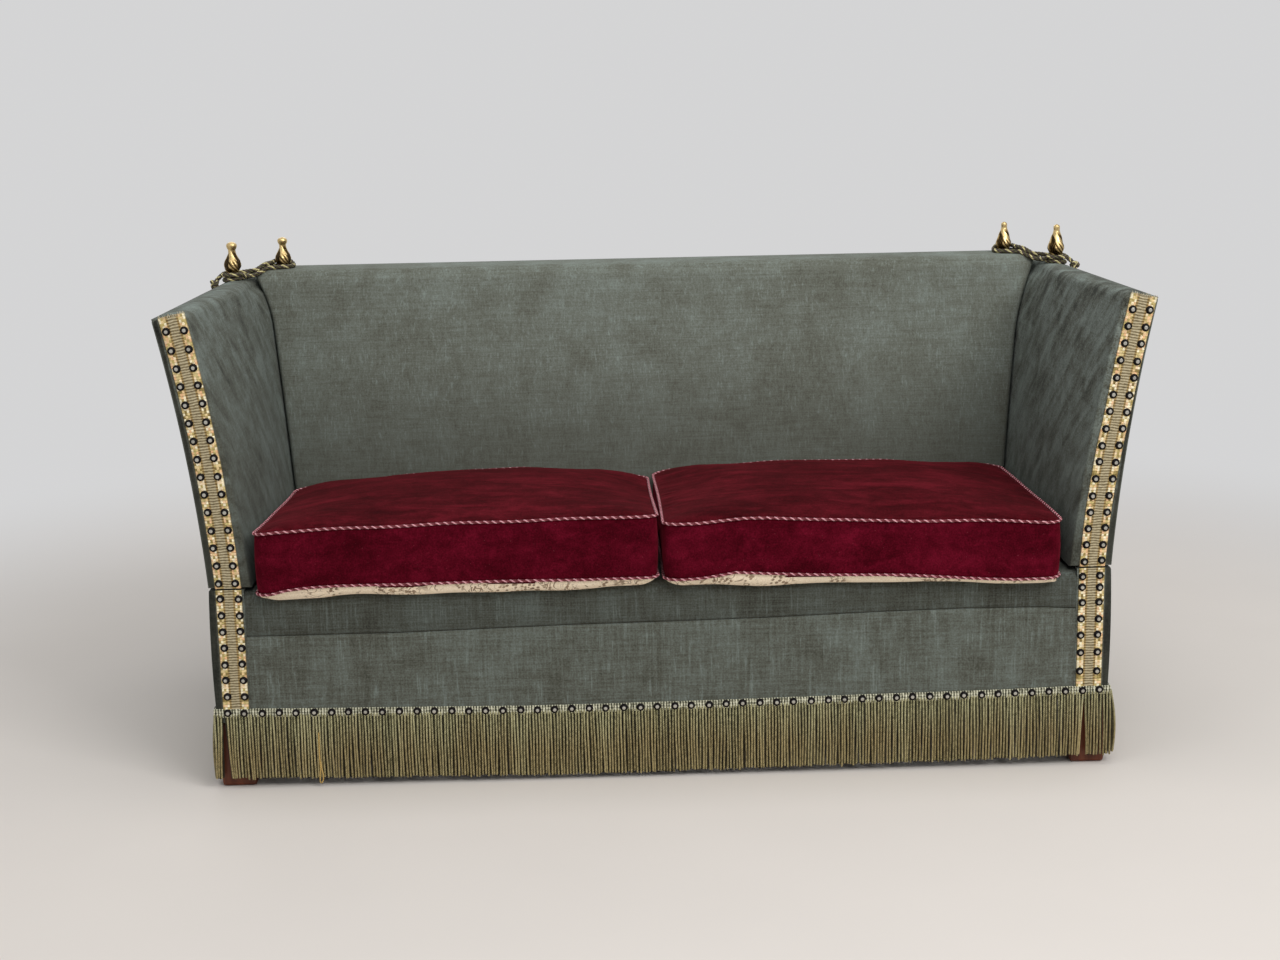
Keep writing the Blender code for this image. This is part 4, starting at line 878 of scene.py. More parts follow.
LIP_LINE = ((-0.715, 0.0), (-0.45, 0.0), (-0.38, 0.0015), (-0.17, 0.0060), (0.035, 0.0078), (0.174, 0.0095),
            (0.383, 0.0150), (0.523, 0.0168), (0.662, 0.0155), (0.723, 0.0115))


def lip_line(x):
    """Height of the seam under the lip: it was sewn a little higher to the right."""
    return LIP_HEIGHT + float(curve(LIP_LINE, x))


def make_deck(finishes):
    """Seat deck with its padded lip, the plain border under the seam and the base's sides."""
    build = Build()
    lip = 0.018
    rows = []
    for x in np.linspace(-BORDER_HALF, BORDER_HALF, 96):
        bottom = lip_line(x) + 0.0008
        inward = min(BORDER_HALF - abs(x), 0.03) / 0.03
        puff = 0.0010 * math.sin(math.pi / 2 * inward)
        wave = 0.0006 * noise.noise(Vector((x * 9, 0.3, 0))) * inward
        ring = [(0.0025, bottom), (0.0008, bottom + 0.0008), (0.0, bottom + 0.003)]
        for height in np.linspace(bottom + 0.010, DECK_TOP - lip, 9):
            share = (height - bottom) / (DECK_TOP - lip - bottom)
            ring.append((-(puff + wave) * math.sin(math.pi * min(1, share * 0.9)), height))
        ring += [(near, DECK_TOP - far) for near, far in quarter(lip, 10)[1:]]
        ring += [(back, DECK_TOP) for back in np.linspace(0.05, DECK_DEPTH, 12)]
        ring += [(DECK_DEPTH, DECK_FOOT), (COVER, DECK_FOOT), (COVER, bottom)]
        rows.append([(x, FRONT_Y + y, z) for y, z in ring])
    build.loft(rows, flip=True)
    deck = build.piece("deck_skin", finishes["lip"], 50, "base", "velour", ("seat_deck",))

    build = Build()
    rows = []
    for x in np.linspace(-BORDER_HALF, BORDER_HALF, 96):
        wave = 0.0005 * noise.noise(Vector((x * 7, 0.9, 0)))
        ring = [(COVER, FOOT_HEIGHT), (0.0, FOOT_HEIGHT)]
        for share in np.linspace(0.1, 0.93, 12):
            ring.append((wave * math.sin(math.pi * share), mix(FOOT_HEIGHT, lip_line(x), share)))
        top = lip_line(x)
        ring += [(0.0003, top - 0.0025), (0.0012, top - 0.0006), (0.0028, top), (COVER, top)]
        rows.append([(x, FRONT_Y + y, z) for y, z in ring])
    build.loft(rows, flip=True)
    border = build.piece("border_skin", finishes["base"], 50, "base", "velour", ("front_border",))


def side_outline(grow):
    """Plan of the fabric round one side of the base, as (x, back) pairs with rounded corners."""
    start, out, far, corner = BORDER_HALF + 0.0003, BASE_HALF, BASE_DEPTH, 0.006
    reach = corner + grow
    spots = [(x, -grow) for x in np.linspace(start, out - corner, 5)]
    for turn in np.linspace(0, math.pi / 2, 6)[1:]:
        spots.append((out - corner + reach * math.sin(turn), corner - reach * math.cos(turn)))
    spots += [(out + grow, back) for back in np.linspace(0.03, far - 0.03, 24)]
    for turn in np.linspace(0, math.pi / 2, 6):
        spots.append((out - corner + reach * math.cos(turn), far - corner + reach * math.sin(turn)))
    spots += [(x, far + grow) for x in np.linspace(out - 2 * corner, REAR_HALF + 0.0003, 4)]
    return spots


def make_side_skin(side_name, side, finishes):
    """Fabric on one side of the base, with the flat top that the arm comes down on."""
    top = SEAM - 0.0022
    build = Build()
    outer = side_outline(0.0)
    rows = []
    for height in list(np.linspace(FOOT_HEIGHT, top - 0.004, 24)):
        puff = 0.0028 * math.sin(math.pi * (height - FOOT_HEIGHT) / (top - 0.004 - FOOT_HEIGHT)) ** 0.8
        rows.append([(side * (x + puff * (y > 0.001)), FRONT_Y + y, height) for x, y in outer])
    for drop, grow in ((0.0022, -0.0004), (0.0008, -0.0014), (0.0, -0.0034)):
        rows.append([(side * x, FRONT_Y + y, top - drop) for x, y in side_outline(grow)])
    flat = [(x, FRONT_Y + min(max(y, 0.012), BASE_DEPTH - 0.012)) for x, y in outer]
    rows.append([(side * max(SILL_HALF, x - 0.028), y, top) for x, y in flat])
    rows += [[(side * SILL_HALF, y, height) for x, y in flat] for height in (top, 0.3335)]
    inner = side_outline(-COVER)
    rows += [[(side * x, FRONT_Y + y, height) for x, y in inner] for height in (0.3325, FOOT_HEIGHT)]
    rows.append(rows[0])
    points = np.array(rows)
    # u is the depth in from the outer face along the front, where the velour paints its dark edge strip of
    # shade.
    depths = [BASE_HALF - x if y < 0.004 else 0.5 for x, y in outer]
    build.grid(points, depths, np.arange(len(points)), flip=side > 0)
    for column, turned in ((0, side < 0), (points.shape[1] - 1, side > 0)):
        ring = [row * points.shape[1] + column for row in range(len(points) - 1)]
        build.faces.append(ring if turned else ring[::-1])
        build.uvs.append(np.zeros((len(ring), 2)))
        build.finishes.append(0)
    skin = build.piece(f"side_skin_{side_name}", finishes["side"], 50, "base", "velour",
                       (f"side_cover_{side_name}", f"arm_sill_{side_name}"))


def dome(build, place, out, tone):
    """Domed nail head that stands out along out, with a thin turned rim."""
    up = np.array((0, 0, 1.0))
    beside = np.cross(up, out)
    profile = [(1.0, -0.10), (1.0, 0.06), (0.93, 0.20), (0.80, 0.34), (0.62, 0.45), (0.40, 0.53),
               (0.20, 0.57), (0.03, 0.58)]
    angles = full_turn(16)
    circle = np.array([beside * math.cos(a) + up * math.sin(a) for a in angles])
    rows = [np.asarray(place) + NAIL * (reach * circle + rise * out) for reach, rise in profile]
    build.loft(rows, tone)


def band_inset(side, lift):
    """The right arm's band was nailed nearer the outer edge towards the top."""
    return BAND_INSET - (np.interp(lift, (0.10, 0.20, 0.27, 0.466),
                                   (0, 0.003, 0.0065, 0.0090)) if side > 0 else 0)


def make_bands(side_name, side, finishes):
    """Gimp and its two rows of nails, up the arm's front edge and on the base below the seam."""
    build = Build()
    heights = np.linspace(SEAM_HALF, arm_height(0) - 0.0010, 60)
    edges = [[np.array(arm_place(side, 0, lift, band_inset(side, lift) + depth)) for lift in heights]
             for depth in (0, BAND_WIDTH)]
    low, high = np.array(edges[0]), np.array(edges[1])
    low[:, 1] = high[:, 1] = FRONT_Y - GAP
    sway = 0.0005 * wander((0, lift * 14, side) for lift in heights)
    low[:, 0] += sway
    high[:, 0] += sway[::-1]
    band(build, low, high, distances(low), side)
    frays = (finishes["gimp"], finishes["thread"])
    for number in range(26):
        share = (number + 0.5) / 26
        root = low[-1] * (1 - share) + high[-1] * share + np.array((0, -0.0012, -0.004))
        lean = CHANCE.uniform(-0.5, 0.5)
        length = CHANCE.uniform(0.004, 0.008)
        tip = root + length * np.array((lean, -0.16, 1.0))
        tip[2] = min(tip[2], SEAM + arm_height(0) + 0.0135)
        middle = (root + tip) / 2 + np.array((lean * 0.0008, -0.0006, 0))
        path = eased(resample(np.array([root, middle, tip]), 0.001)[0], 2)
        build.tubes(path[None], 0.00036, 4, finish=1)
    body = f"arm_{side_name}"
    build.piece(f"arm_gimp_{side_name}", frays, 50, body, "gimp", (f"arm_band_{side_name}",))

    build = Build()
    heights = np.linspace(HEADER_TOP - 0.004, SEAM - SEAM_HALF, 40)
    outer = np.array([(side * (BASE_HALF - BAND_INSET), FRONT_Y - GAP, z) for z in heights])
    inner = np.array([(side * (BASE_HALF - BAND_INSET - BAND_WIDTH), FRONT_Y - GAP, z) for z in heights])
    sway = 0.0005 * wander((4.0, z * 14, side) for z in heights)
    outer[:, 0] += sway
    inner[:, 0] += sway[::-1]
    band(build, outer, inner, heights, side)
    build.piece(f"base_gimp_{side_name}", finishes["gimp"], 50, "base", "gimp", (f"base_band_{side_name}",))

    build = Build()
    count = 15 if side < 0 else 16
    for depth, top, foot in ((0.0205, 0.8049, 0.3715), (0.0490, 0.8076, 0.3708)):
        for number in range(count):
            height = mix(foot, top, number / (count - 1)) + CHANCE.uniform(-0.0009, 0.0009)
            lift = height - SEAM
            inset = depth + band_inset(side, lift) - BAND_INSET
            rise = arm_place(side, 0, lift, inset).z - height
            spot = arm_place(side, 0, max(0.0, lift - rise), inset + CHANCE.uniform(-0.0008, 0.0008))
            spot.y = FRONT_Y - GAP - BAND_THICK
            dome(build, tuple(spot), nail_lean(), CHANCE.uniform(0, 1))
    build.piece(f"arm_nails_{side_name}", finishes["nails"], 50, body, "brass")

    build = Build()
    levels = np.linspace(0.1679, 0.3431, 7)
    if side > 0:
        levels = (0.1725, 0.2064, 0.2384, 0.2676, 0.2969, 0.3243, 0.3445)
    for depth in (0.0213, 0.0513):
        for level in levels:
            height = level + CHANCE.uniform(-0.0009, 0.0009)
            x = side * (BASE_HALF - depth + CHANCE.uniform(-0.0008, 0.0008))
            dome(build, (x, FRONT_Y - GAP - BAND_THICK, height), nail_lean(), CHANCE.uniform(0, 1))
    build.piece(f"base_nails_{side_name}", finishes["nails"], 50, "base", "brass")


def nail_lean():
    """Nearly square to the front: nails are never driven quite true."""
    lean = np.array((CHANCE.uniform(-0.07, 0.07), -1.0, CHANCE.uniform(-0.07, 0.07)))
    return lean / np.linalg.norm(lean)


def band(build, low, high, along, side):
    """Woven band 2.2 mm thick between two edges, thicker along its woven edges."""
    shares = np.array((0, 0.0, 0.02, 0.10, 0.20, 0.27, 0.33, 0.50, 0.67, 0.73, 0.80, 0.90, 0.98, 1.0, 1.0))
    lifts = np.array((0, 0.9, 1.7, 2.1, 2.0, 1.5, 1.7, 1.8, 1.7, 1.5, 2.0, 2.1, 1.7, 0.9, 0)) * 0.001
    rows = low[:, None] * (1 - shares)[None, :, None] + high[:, None] * shares[None, :, None]
    rows[:, :, 1] -= lifts
    us = np.append(shares, 0) * BAND_WIDTH
    build.grid(rows, us, along, True, 0, caps=True, flip=side < 0)


FRONT_SAG = ((-0.745, 0.0), (-0.592, 0.003), (-0.418, 0.0055), (-0.244, 0.0088), (-0.1, 0.0090),
             (0.08, 0.0080), (0.244, 0.0062), (0.418, 0.0046), (0.593, 0.0032), (0.715, 0.0005))


def make_fringe(name, length, start, run, out, nails, finishes, seed, sag=((0.0, 0.0), (1.0, 0.0)), parted=(),
                bulge=((0.0, 0.0), (1.0, 0.0))):
    """Bullion fringe along a straight run: woven header with nails, and two layers of strands below it.

    sag gives how far the header hangs below its level at places along the run, and bulge how far the strands
    stand out there. parted has places where the strands swing apart, each with the half width they clear."""
    chance = np.random.default_rng(seed)
    start, run, out = (np.asarray(v, float) for v in (start, run, out))
    build = Build()
    pitch = 0.00265
    count = round(length / pitch)
    places = (np.arange(count) + 0.5) * length / count
    places = places + chance.normal(0, 0.00024, count)
    front = np.arange(count) % 2 == 0
    drift = np.pad(chance.normal(0, 0.0015, count), 5, "edge")
    lean = np.convolve(drift, np.ones(11) / 11, "valid") * 1.2 + chance.normal(0, 0.00034, count)
    kept = np.ones(count, bool)
    for place, clear in parted:
        away = places - place
        kept &= np.abs(away) > clear * 0.4
        lean = lean + np.sign(away) * clear * 1.1 * np.exp(-((away / (clear * 2.2)) ** 2))
    levels = np.linspace(HEADER_FOOT + 0.003, FRINGE_FOOT, 25)
    share = (levels[0] - levels) / (levels[0] - levels[-1])
    bow = np.where(front, 0.0048, 0.0022) + chance.normal(0, 0.0006, count)
    bow += curve(bulge, places)
    wave = chance.uniform(0, 2 * math.pi, count)
    ends = chance.normal(0, 0.0012, count)
    paths = np.zeros((count, len(levels), 3))
    aside = places[:, None] + lean[:, None] * share**1.3 + 0.0005 * np.sin(wave[:, None] + 5 * share)
    away = 0.0006 + bow[:, None] * np.sin(math.pi * np.clip(share * 0.60 + 0.12, 0, 1))
    away = away + np.where(front, 0.0012, -0.0002)[:, None] * share
    paths += start + aside[..., None] * run + away[..., None] * out
    paths[:, :, 2] = levels[None] + ends[:, None] * share - curve(sag, places)[:, None]
    slow = wander((place * 22, seed, 0) for place in places) * 0.10
    # The back layer's strands get a dark tone, painted shade behind the front layer; slow and random parts
    # vary by strand.
    tones = np.where(front, 0.68, -0.24) + chance.normal(0, 0.09, count) + slow * np.where(front, 1, 0.4)
    tones = np.clip(tones, -0.3, 1)
    spread = np.where(share < 0.06, 0.0016, 0.00162 + 0.0001 * share)
    spread[-2:] = 0.0019, 0.0015
    build.tubes(paths[kept], spread, 6, tones=tones[kept], normal=run)
    if parted:
        # A pulled thread hangs in a loop below the others
        pulled = [(0.1800, 0.100), (0.1790, 0.060), (0.1800, 0.036), (0.1782, 0.020), (0.1778, 0.0085),
                  (0.1788, 0.0060), (0.1812, 0.0080), (0.1836, 0.0120), (0.1842, 0.0220), (0.1818, 0.0340),
                  (0.1808, 0.0460)]
        line = np.array([start + (0.0019 + 0.0052) * out + place * run + (0, 0, height) for place,
                         height in pulled])
        build.tubes(eased(resample(line, 0.002)[0], 3)[None], 0.0012, 6, finish=1, normal=run)
    build.piece(name + "_strands", (finishes["strands"], finishes["gold_thread"]), 80, "base", "fringe",
                (name,))

    build = Build()
    columns = np.linspace(0, length, round(length / 0.0048) * 6 + 1)
    ripple = 0.0005 * np.sin(columns * 2 * math.pi / 0.0048)
    drop = curve(sag, columns)
    edge = 0.0005 * wander((place * 60, seed, 3) for place in columns)
    rows = []
    for height, thick in ((HEADER_FOOT - 0.0032, 0.0012), (HEADER_FOOT - 0.0016, 0.0030),
                          (HEADER_FOOT + 0.003, 0.0034), (HEADER_TOP - 0.0030, 0.0030),
                          (HEADER_TOP - 0.0006, 0.0022), (HEADER_TOP, 0.0008)):
        row = start + columns[:, None] * run + (thick + ripple * (thick > 0.001))[:, None] * out
        row[:, 2] = height - drop + edge
        rows.append(row)
    for height in (HEADER_TOP, HEADER_FOOT - 0.0032):
        row = start + columns[:, None] * run + 0.0003 * out
        row[:, 2] = height - drop + edge
        rows.append(row)
    rows.append(rows[0])
    rows = np.array(rows)
    build.grid(rows, columns, rows[:, 0, 2], flip=True)
    build.piece(name + "_header", finishes["header"], 60, "base", "fringe")

    build = Build()
    for place in nails:
        spot = start + (place + chance.uniform(-0.0012, 0.0012)) * run + 0.0030 * out
        spot[2] = 0.1383 + chance.uniform(-0.0008, 0.0008) - curve(sag, place)
        lean = out + 0.07 * chance.uniform(-1, 1, 3)
        dome(build, spot, lean / np.linalg.norm(lean), chance.uniform(0, 1))
    build.piece(name + "_nails", finishes["nails"], 50, "base", "brass")


def make_fringes(finishes):
    half, depth = BASE_HALF, BASE_DEPTH
    wide = 2 * half + 0.008
    row = 0.0235 + np.linspace(0, wide - 0.043, 52)
    sag = [(x + half + 0.004, drop) for x, drop in FRONT_SAG]
    make_fringe("fringe_front", wide, (-half - 0.004, FRONT_Y - GAP, 0), (1, 0, 0), (0, -1, 0), row,
                finishes, 11, sag, ((0.0172, 0.0050), (wide - 0.046, 0.0040)))
    make_fringe("fringe_rear", wide, (half + 0.004, FRONT_Y + depth + GAP, 0), (-1, 0, 0), (0, 1, 0), row,
                finishes, 12)
    row = 0.020 + np.linspace(0, depth - 0.04, 22)
    make_fringe("fringe_left", depth, (-half - GAP, FRONT_Y + depth, 0), (0, -1, 0), (-1, 0, 0), row,
                finishes, 13, bulge=((0.0, 0.0010), (depth - 0.12, 0.0010), (depth, 0.0030)))
    make_fringe("fringe_right", depth, (half + GAP, FRONT_Y, 0), (0, 1, 0), (1, 0, 0), row, finishes, 14,
                bulge=((0.0, 0.0075), (0.03, 0.0060), (0.12, 0.0010), (depth, 0.0010)))


# Finials and tassels


FINIALS = {
    "left": ((0.0, 9.4), (0.06, 10.0), (0.13, 12.2), (0.20, 15.0), (0.27, 16.4), (0.36, 16.6), (0.44, 15.2),
             (0.50, 12.8), (0.55, 10.8), (0.62, 8.7), (0.70, 7.3), (0.765, 6.9), (0.81, 8.8), (0.86, 10.0),
             (0.905, 10.2), (0.95, 8.8), (0.98, 5.4), (1.0, 0.3)),
    "right": ((0.0, 9.4), (0.08, 10.2), (0.17, 13.2), (0.23, 15.8), (0.31, 17.3), (0.39, 16.3),
              (0.50, 13.3), (0.61, 10.9), (0.71, 8.3), (0.80, 6.2), (0.84, 5.9), (0.90, 6.3), (0.95, 5.8),
              (0.98, 4.0), (1.0, 0.3)),
}


def finial_rings(place, tall, profile):
    """Cast bell with leaves that sweep round it, drawn up into a neck and a tip. Gives the rings and a tone
    for each point: 0 in the hollows between the leaves."""
    levels, radii = np.array(profile).T
    fine = np.linspace(0, 1, 96)
    reach = np.interp(fine, levels, radii * 0.001)
    reach = np.convolve(np.pad(reach, 2, "edge"), (0.1, 0.2, 0.4, 0.2, 0.1), "valid")
    reach[-1] = 0.0003
    angles = full_turn(72)
    rows, tones = [], []
    for level, radius in zip(fine, reach):
        twist = angles + 3.4 * level + 0.45 * math.sin(8 * level)
        petal = smooth(np.cos(3 * twist), -0.50, -0.05)
        deep = (1 - petal) * float(np.interp(level, (0.0, 0.04, 0.62, 0.78), (0.6, 1.0, 1.0, 0.0)))
        ribs = 0.5 + 0.5 * np.cos(21 * twist - 34 * level)
        lower = float(np.interp(level, (0.05, 0.14, 0.40, 0.52), (0.0, 1.0, 1.0, 0.0)))
        veins = (0.5 + 0.5 * np.cos(12 * twist + 30 * level)) ** 2 * petal * lower
        r = radius - 0.0024 * deep * min(1, radius / 0.008) + 0.0006 * ribs * deep - 0.0010 * veins
        height = np.full(len(angles), place[2] + level * tall)
        rows.append(np.stack([place[0] + r * np.cos(angles), place[1] + r * np.sin(angles), height], 1))
        tones.append(np.clip(0.84 - deep * (0.80 - 0.40 * ribs) - 0.62 * veins, 0, 1))
    return np.array(rows), np.array(tones)


def make_finial(name, node, place, stem, tall, profile, body, finishes):
    build = Build()
    rows, tones = finial_rings((place[0], place[1], place[2] + stem), tall, profile)
    build.grid(rows, np.linspace(0, 1, rows.shape[1] + 1), np.linspace(0, 1, len(rows)), True, 0, tones,
               caps=True)
    if stem:
        ring = full_turn(24)
        post = [[(place[0] + 0.006 * math.cos(a), place[1] + 0.006 * math.sin(a), z) for a in ring]
                for z in np.linspace(place[2], place[2] + stem + 0.002, 8)]
        build.loft(post, tone=0.30)
    build.piece(name, finishes["brass"], 55, body, "brass", (node,))


def make_tassel(side_name, side, knot, finishes):
    """The cord's tail, with a tassel at its end: a bound head and a skirt of twisted threads."""
    x, y = knot.x, knot.y
    line = np.array([tuple(knot + Vector((0, 0, -TAIL * share))) for share in np.linspace(0, 1, 40)])
    build = Build()
    twisted(build, line, CORD, 4, 0.024, 7, 0.0018)
    tail = build.piece(f"cord_tail_rope_{side_name}", finishes["ropes"], 60, f"tassel_{side_name}", "cord",
                       (f"cord_tail_{side_name}",))
    top = knot.z - TAIL - GAP
    build = Build()
    levels = np.linspace(0, 1, 60)
    radii = np.interp(levels, (0, 0.03, 0.10, 0.20, 0.30, 0.36, 0.45, 0.62, 0.70, 0.80, 0.90, 1.0),
                      (0.0030, 0.0085, 0.0120, 0.0128, 0.0112, 0.0088, 0.0070, 0.0066, 0.0072, 0.0078, 0.0080,
                       0.0078))
    angles = full_turn(40)
    rows = []
    for level, radius in zip(levels, radii):
        wound = 0.0004 * math.cos(level * 0.045 / 0.0016 * 2 * math.pi)
        net = 0.0004 * np.abs(np.cos(5 * angles + 40 * level)) * (level < 0.34)
        r = radius + wound + net
        rows.append(np.stack([x + r * np.cos(angles), y + r * np.sin(angles),
                              np.full(40, top - level * 0.045)], 1))
    build.grid(np.array(rows), np.linspace(0, 1, 41), levels * 0.045, True, 1, 0.6, caps=True, flip=True)
    chance = np.random.default_rng(31 + side)
    count = 84
    turns = np.arange(count) * 2 * math.pi * 0.381966
    depth = np.sqrt((np.arange(count) + 0.5) / count)
    share = np.linspace(0, 1, 24)
    spread = np.interp(share, (0, 0.12, 0.5, 1.0), (0.0056, 0.0105, 0.0128, 0.0140))
    reach = depth[:, None] * spread[None] + chance.normal(0, 0.0003, (count, 1)) * share
    paths = np.zeros((count, 24, 3))
    paths[..., 0] = x + reach * np.cos(turns)[:, None]
    paths[..., 1] = y + reach * np.sin(turns)[:, None]
    ends = chance.uniform(-0.0015, 0.0010, count)
    paths[..., 2] = top - 0.030 - share * (0.0745 + ends[:, None])
    build.tubes(paths, 0.00155, 5, lobes=2, depth=0.25, lay=0.006, phases=turns,
                tones=np.clip(chance.normal(0.5, 0.25, count), 0, 1))
    tassel = build.piece(f"tassel_threads_{side_name}", (finishes["strands"], finishes["ropes"][0]), 60,
                         f"tassel_{side_name}", "fringe", (f"tassel_{side_name}",))


# Under the seat


def make_underside(finishes):
    build = Build()
    near, far, reach = 0.0048, BASE_DEPTH - 0.0048, 0.770
    thick = 0.0011
    level = 0.330 + GAP
    crossings = [0.100 + number * (BASE_DEPTH - 0.3) / 3 for number in range(4)]
    lengthwise = [(SILL_HALF - 0.05) * (number / 4 - 1) for number in range(9)]

    def strap(points):
        points = np.asarray(points, float)
        run = np.gradient(points, axis=0)
        run[:, 2] = 0
        run /= np.linalg.norm(run, axis=1, keepdims=True)
        beside = np.stack([run[:, 1], -run[:, 0], 0 * run[:, 0]], 1)
        low, high = points - STRAP_HALF * beside, points + STRAP_HALF * beside
        drop = np.array((0, 0, thick))
        rings = np.stack([low, high, high + drop, low + drop], 1)
        along = distances(points)
        edges = (-STRAP_HALF, STRAP_HALF, STRAP_HALF, -STRAP_HALF, -STRAP_HALF)
        build.grid(rings, edges, along, True, caps=True, flip=True)

    def heights(places, crossed, first):
        """Levels at which a strap goes over and under the straps that it crosses by turns."""
        over = np.zeros(len(places))
        for number, middle in enumerate(crossed):
            over += (-1 if (number + first) % 2 else 1) * np.exp(-(((places - middle) / 0.038) ** 4))
        return level + 0.0006 + 0.0006 * over

    for number, back in enumerate(crossings):
        xs = np.linspace(-reach, reach, 200)
        strap([(x, FRONT_Y + back, z) for x, z in zip(xs, heights(xs, lengthwise, number + 1))])
    for number, x in enumerate(lengthwise):
        end = 0.505 if abs(abs(x) - 0.659) < 0.044 else far
        ys = np.linspace(near, end, 90)
        strap([(x, FRONT_Y + y, z) for y, z in zip(ys, heights(ys, crossings, number))])
    build.piece("webbing_lattice", finishes["jute"], 50, "base", "webbing", ("seat_webbing",))

    build = Build()
    half, near, far = 0.7172, 0.0048, BASE_DEPTH - 0.0048
    xs, ys = np.linspace(-half, half, 60), np.linspace(near, far, 30)
    rows = []
    for y in ys:
        row = []
        for x in xs:
            rim = min(1, (half - abs(x)) / 0.12) * min(1, (y - near) / 0.12, (far - y) / 0.12)
            sag = 0.005 * rim * (1 + 0.3 * noise.noise(Vector((x * 5, y * 5, 0))))
            row.append((x, FRONT_Y + y, FOOT_HEIGHT - 0.0012 - sag))
        rows.append(row)
    below = np.array(rows)
    above = below + np.array((0, 0, 0.0006))
    build.grid(above, xs, ys)
    build.grid(below, xs, ys, flip=True)
    count = len(xs) * len(ys)
    rim = [(0, c) for c in range(59)] + [(r, 59) for r in range(29)]
    rim += [(29, c) for c in range(59, 0, -1)] + [(r, 0) for r in range(29, 0, -1)]
    rim = [r * 60 + c for r, c in rim]
    for first, second in zip(rim, rim[1:] + rim[:1]):
        build.faces.append([first, first + count, second + count, second])
        build.uvs.append(np.zeros((4, 2)))
        build.finishes.append(0)
    lining = build.piece("bottom_lining", finishes["lining"], 50, "base", "lining", ("dust_cover",))


# Cushions


TOP_SEAM = 0.4555
LOW_SEAM = 0.3600
# No two cushions are alike. half and middle are across the settee. drawn is how far the left and right
# sides pull in at mid depth. corners has the radii front left, front right, rear right and rear left. The
# rest give, at places across from the cushion's middle, how far the seams stray and the underside hangs.
CUSHIONS = {
    "left": {
        "half": 0.343,
        "middle": -0.352,
        "drawn": (0.0040, 0.0020),
        "corners": (0.034, 0.020, 0.046, 0.052),
        "front_top": ((-0.34, 0.006), (-0.30, 0.010), (-0.20, 0.013), (0.0, 0.017), (0.20, 0.020),
                      (0.33, 0.022)),
        "rear_top": ((-0.33, -0.031), (-0.28, -0.024), (-0.15, -0.012), (0.0, -0.003), (0.10, -0.0025),
                     (0.25, -0.0115), (0.33, -0.0245)),
        "front_low": ((-0.34, -0.006), (-0.315, -0.003), (-0.29, 0.003), (-0.255, 0.0065), (-0.203, 0.008),
                      (0.0, 0.0085), (0.316, 0.009)),
        "hang": ((-0.34, 0.008), (-0.307, 0.0100), (-0.26, 0.0050), (-0.20, 0.0012), (0.0, 0.0), (0.34, 0.0)),
    },
    "right": {
        "half": 0.3415,
        "middle": 0.3435,
        "drawn": (0.0025, -0.0035),
        "corners": (0.027, 0.034, 0.046, 0.046),
        "front_top": ((-0.336, 0.0070), (-0.285, 0.0072), (-0.241, 0.0100), (-0.206, 0.0125),
                      (-0.16, 0.0127), (-0.102, 0.010), (0.0, 0.0035), (0.14, 0.0), (0.244, -0.002),
                      (0.33, -0.007)),
        "rear_top": ((-0.33, -0.0165), (-0.25, -0.0075), (-0.10, -0.0015), (0.0, -0.0007), (0.12, -0.0045),
                     (0.22, -0.012), (0.33, -0.0185)),
        "front_low": ((-0.32, 0.0048), (-0.283, 0.0053), (-0.246, 0.0097), (-0.22, 0.0138),
                      (-0.172, 0.0106), (-0.102, 0.0076), (0.0, 0.0035), (0.071, 0.001), (0.14, -0.0035),
                      (0.209, -0.008), (0.261, -0.0106), (0.32, -0.0106)),
        "hang": ((-0.34, 0.004), (-0.30, 0.002), (-0.25, 0.0), (0.105, 0.0005), (0.1745, 0.0056),
                 (0.244, 0.0092), (0.313, 0.0150), (0.34, 0.0150)),
    },
}


def cushion_outline(shape, grow=0.0):
    """Plan of a cushion at its seams, as (x, y) about its middle: rounded corners, sides drawn in."""
    half = shape["half"]
    front_left, front_right, rear_right, rear_left = shape["corners"]
    spots = []
    for across, along, start, corner in ((1, -1, -90, front_right), (1, 1, 0, rear_right),
                                         (-1, 1, 90, rear_left), (-1, -1, 180, front_left)):
        corner += grow
        centre = (across * (half + grow - corner), along * (CUSHION_HALF_DEPTH + grow - corner))
        for turn in np.linspace(math.radians(start), math.radians(start + 90), 16):
            spots.append((centre[0] + corner * math.cos(turn), centre[1] + corner * math.sin(turn)))
    path = np.array(spots + spots[:1])
    path = resample(np.column_stack([path, np.zeros(len(path))]), 0.006)[0][:-1, :2]
    x, y = path[:, 0] / half, path[:, 1] / CUSHION_HALF_DEPTH
    pull = np.where(x < 0, shape["drawn"][0], shape["drawn"][1])
    return np.column_stack([path[:, 0] - x * pull * (1 - y**2), path[:, 1] * (1 - 0.020 * (1 - x**2))])


def top_stray(shape, x, y):
    """How far the top seam, and the panel inside it, stands from level."""
    share = np.clip(0.5 + y / CUSHION_HALF_DEPTH / 2, 0, 1)
    front, rear = (curve(shape[key], x) for key in ("front_top", "rear_top"))
    return mix(front, rear, share**0.9) + 0.0008 * np.sin(x * 31 + y * 17)


def low_stray(shape, x, y):
    """How far the lower seam stands from level, which it does at the front."""
    return curve(shape["front_low"], x) * smooth(-y, 0.10, 0.26) + 0.0005 * np.sin(x * 23)


def cushion_middle(shape):
    return np.array((shape["middle"], FRONT_Y + CUSHION_FRONT + CUSHION_HALF_DEPTH, 0.0))


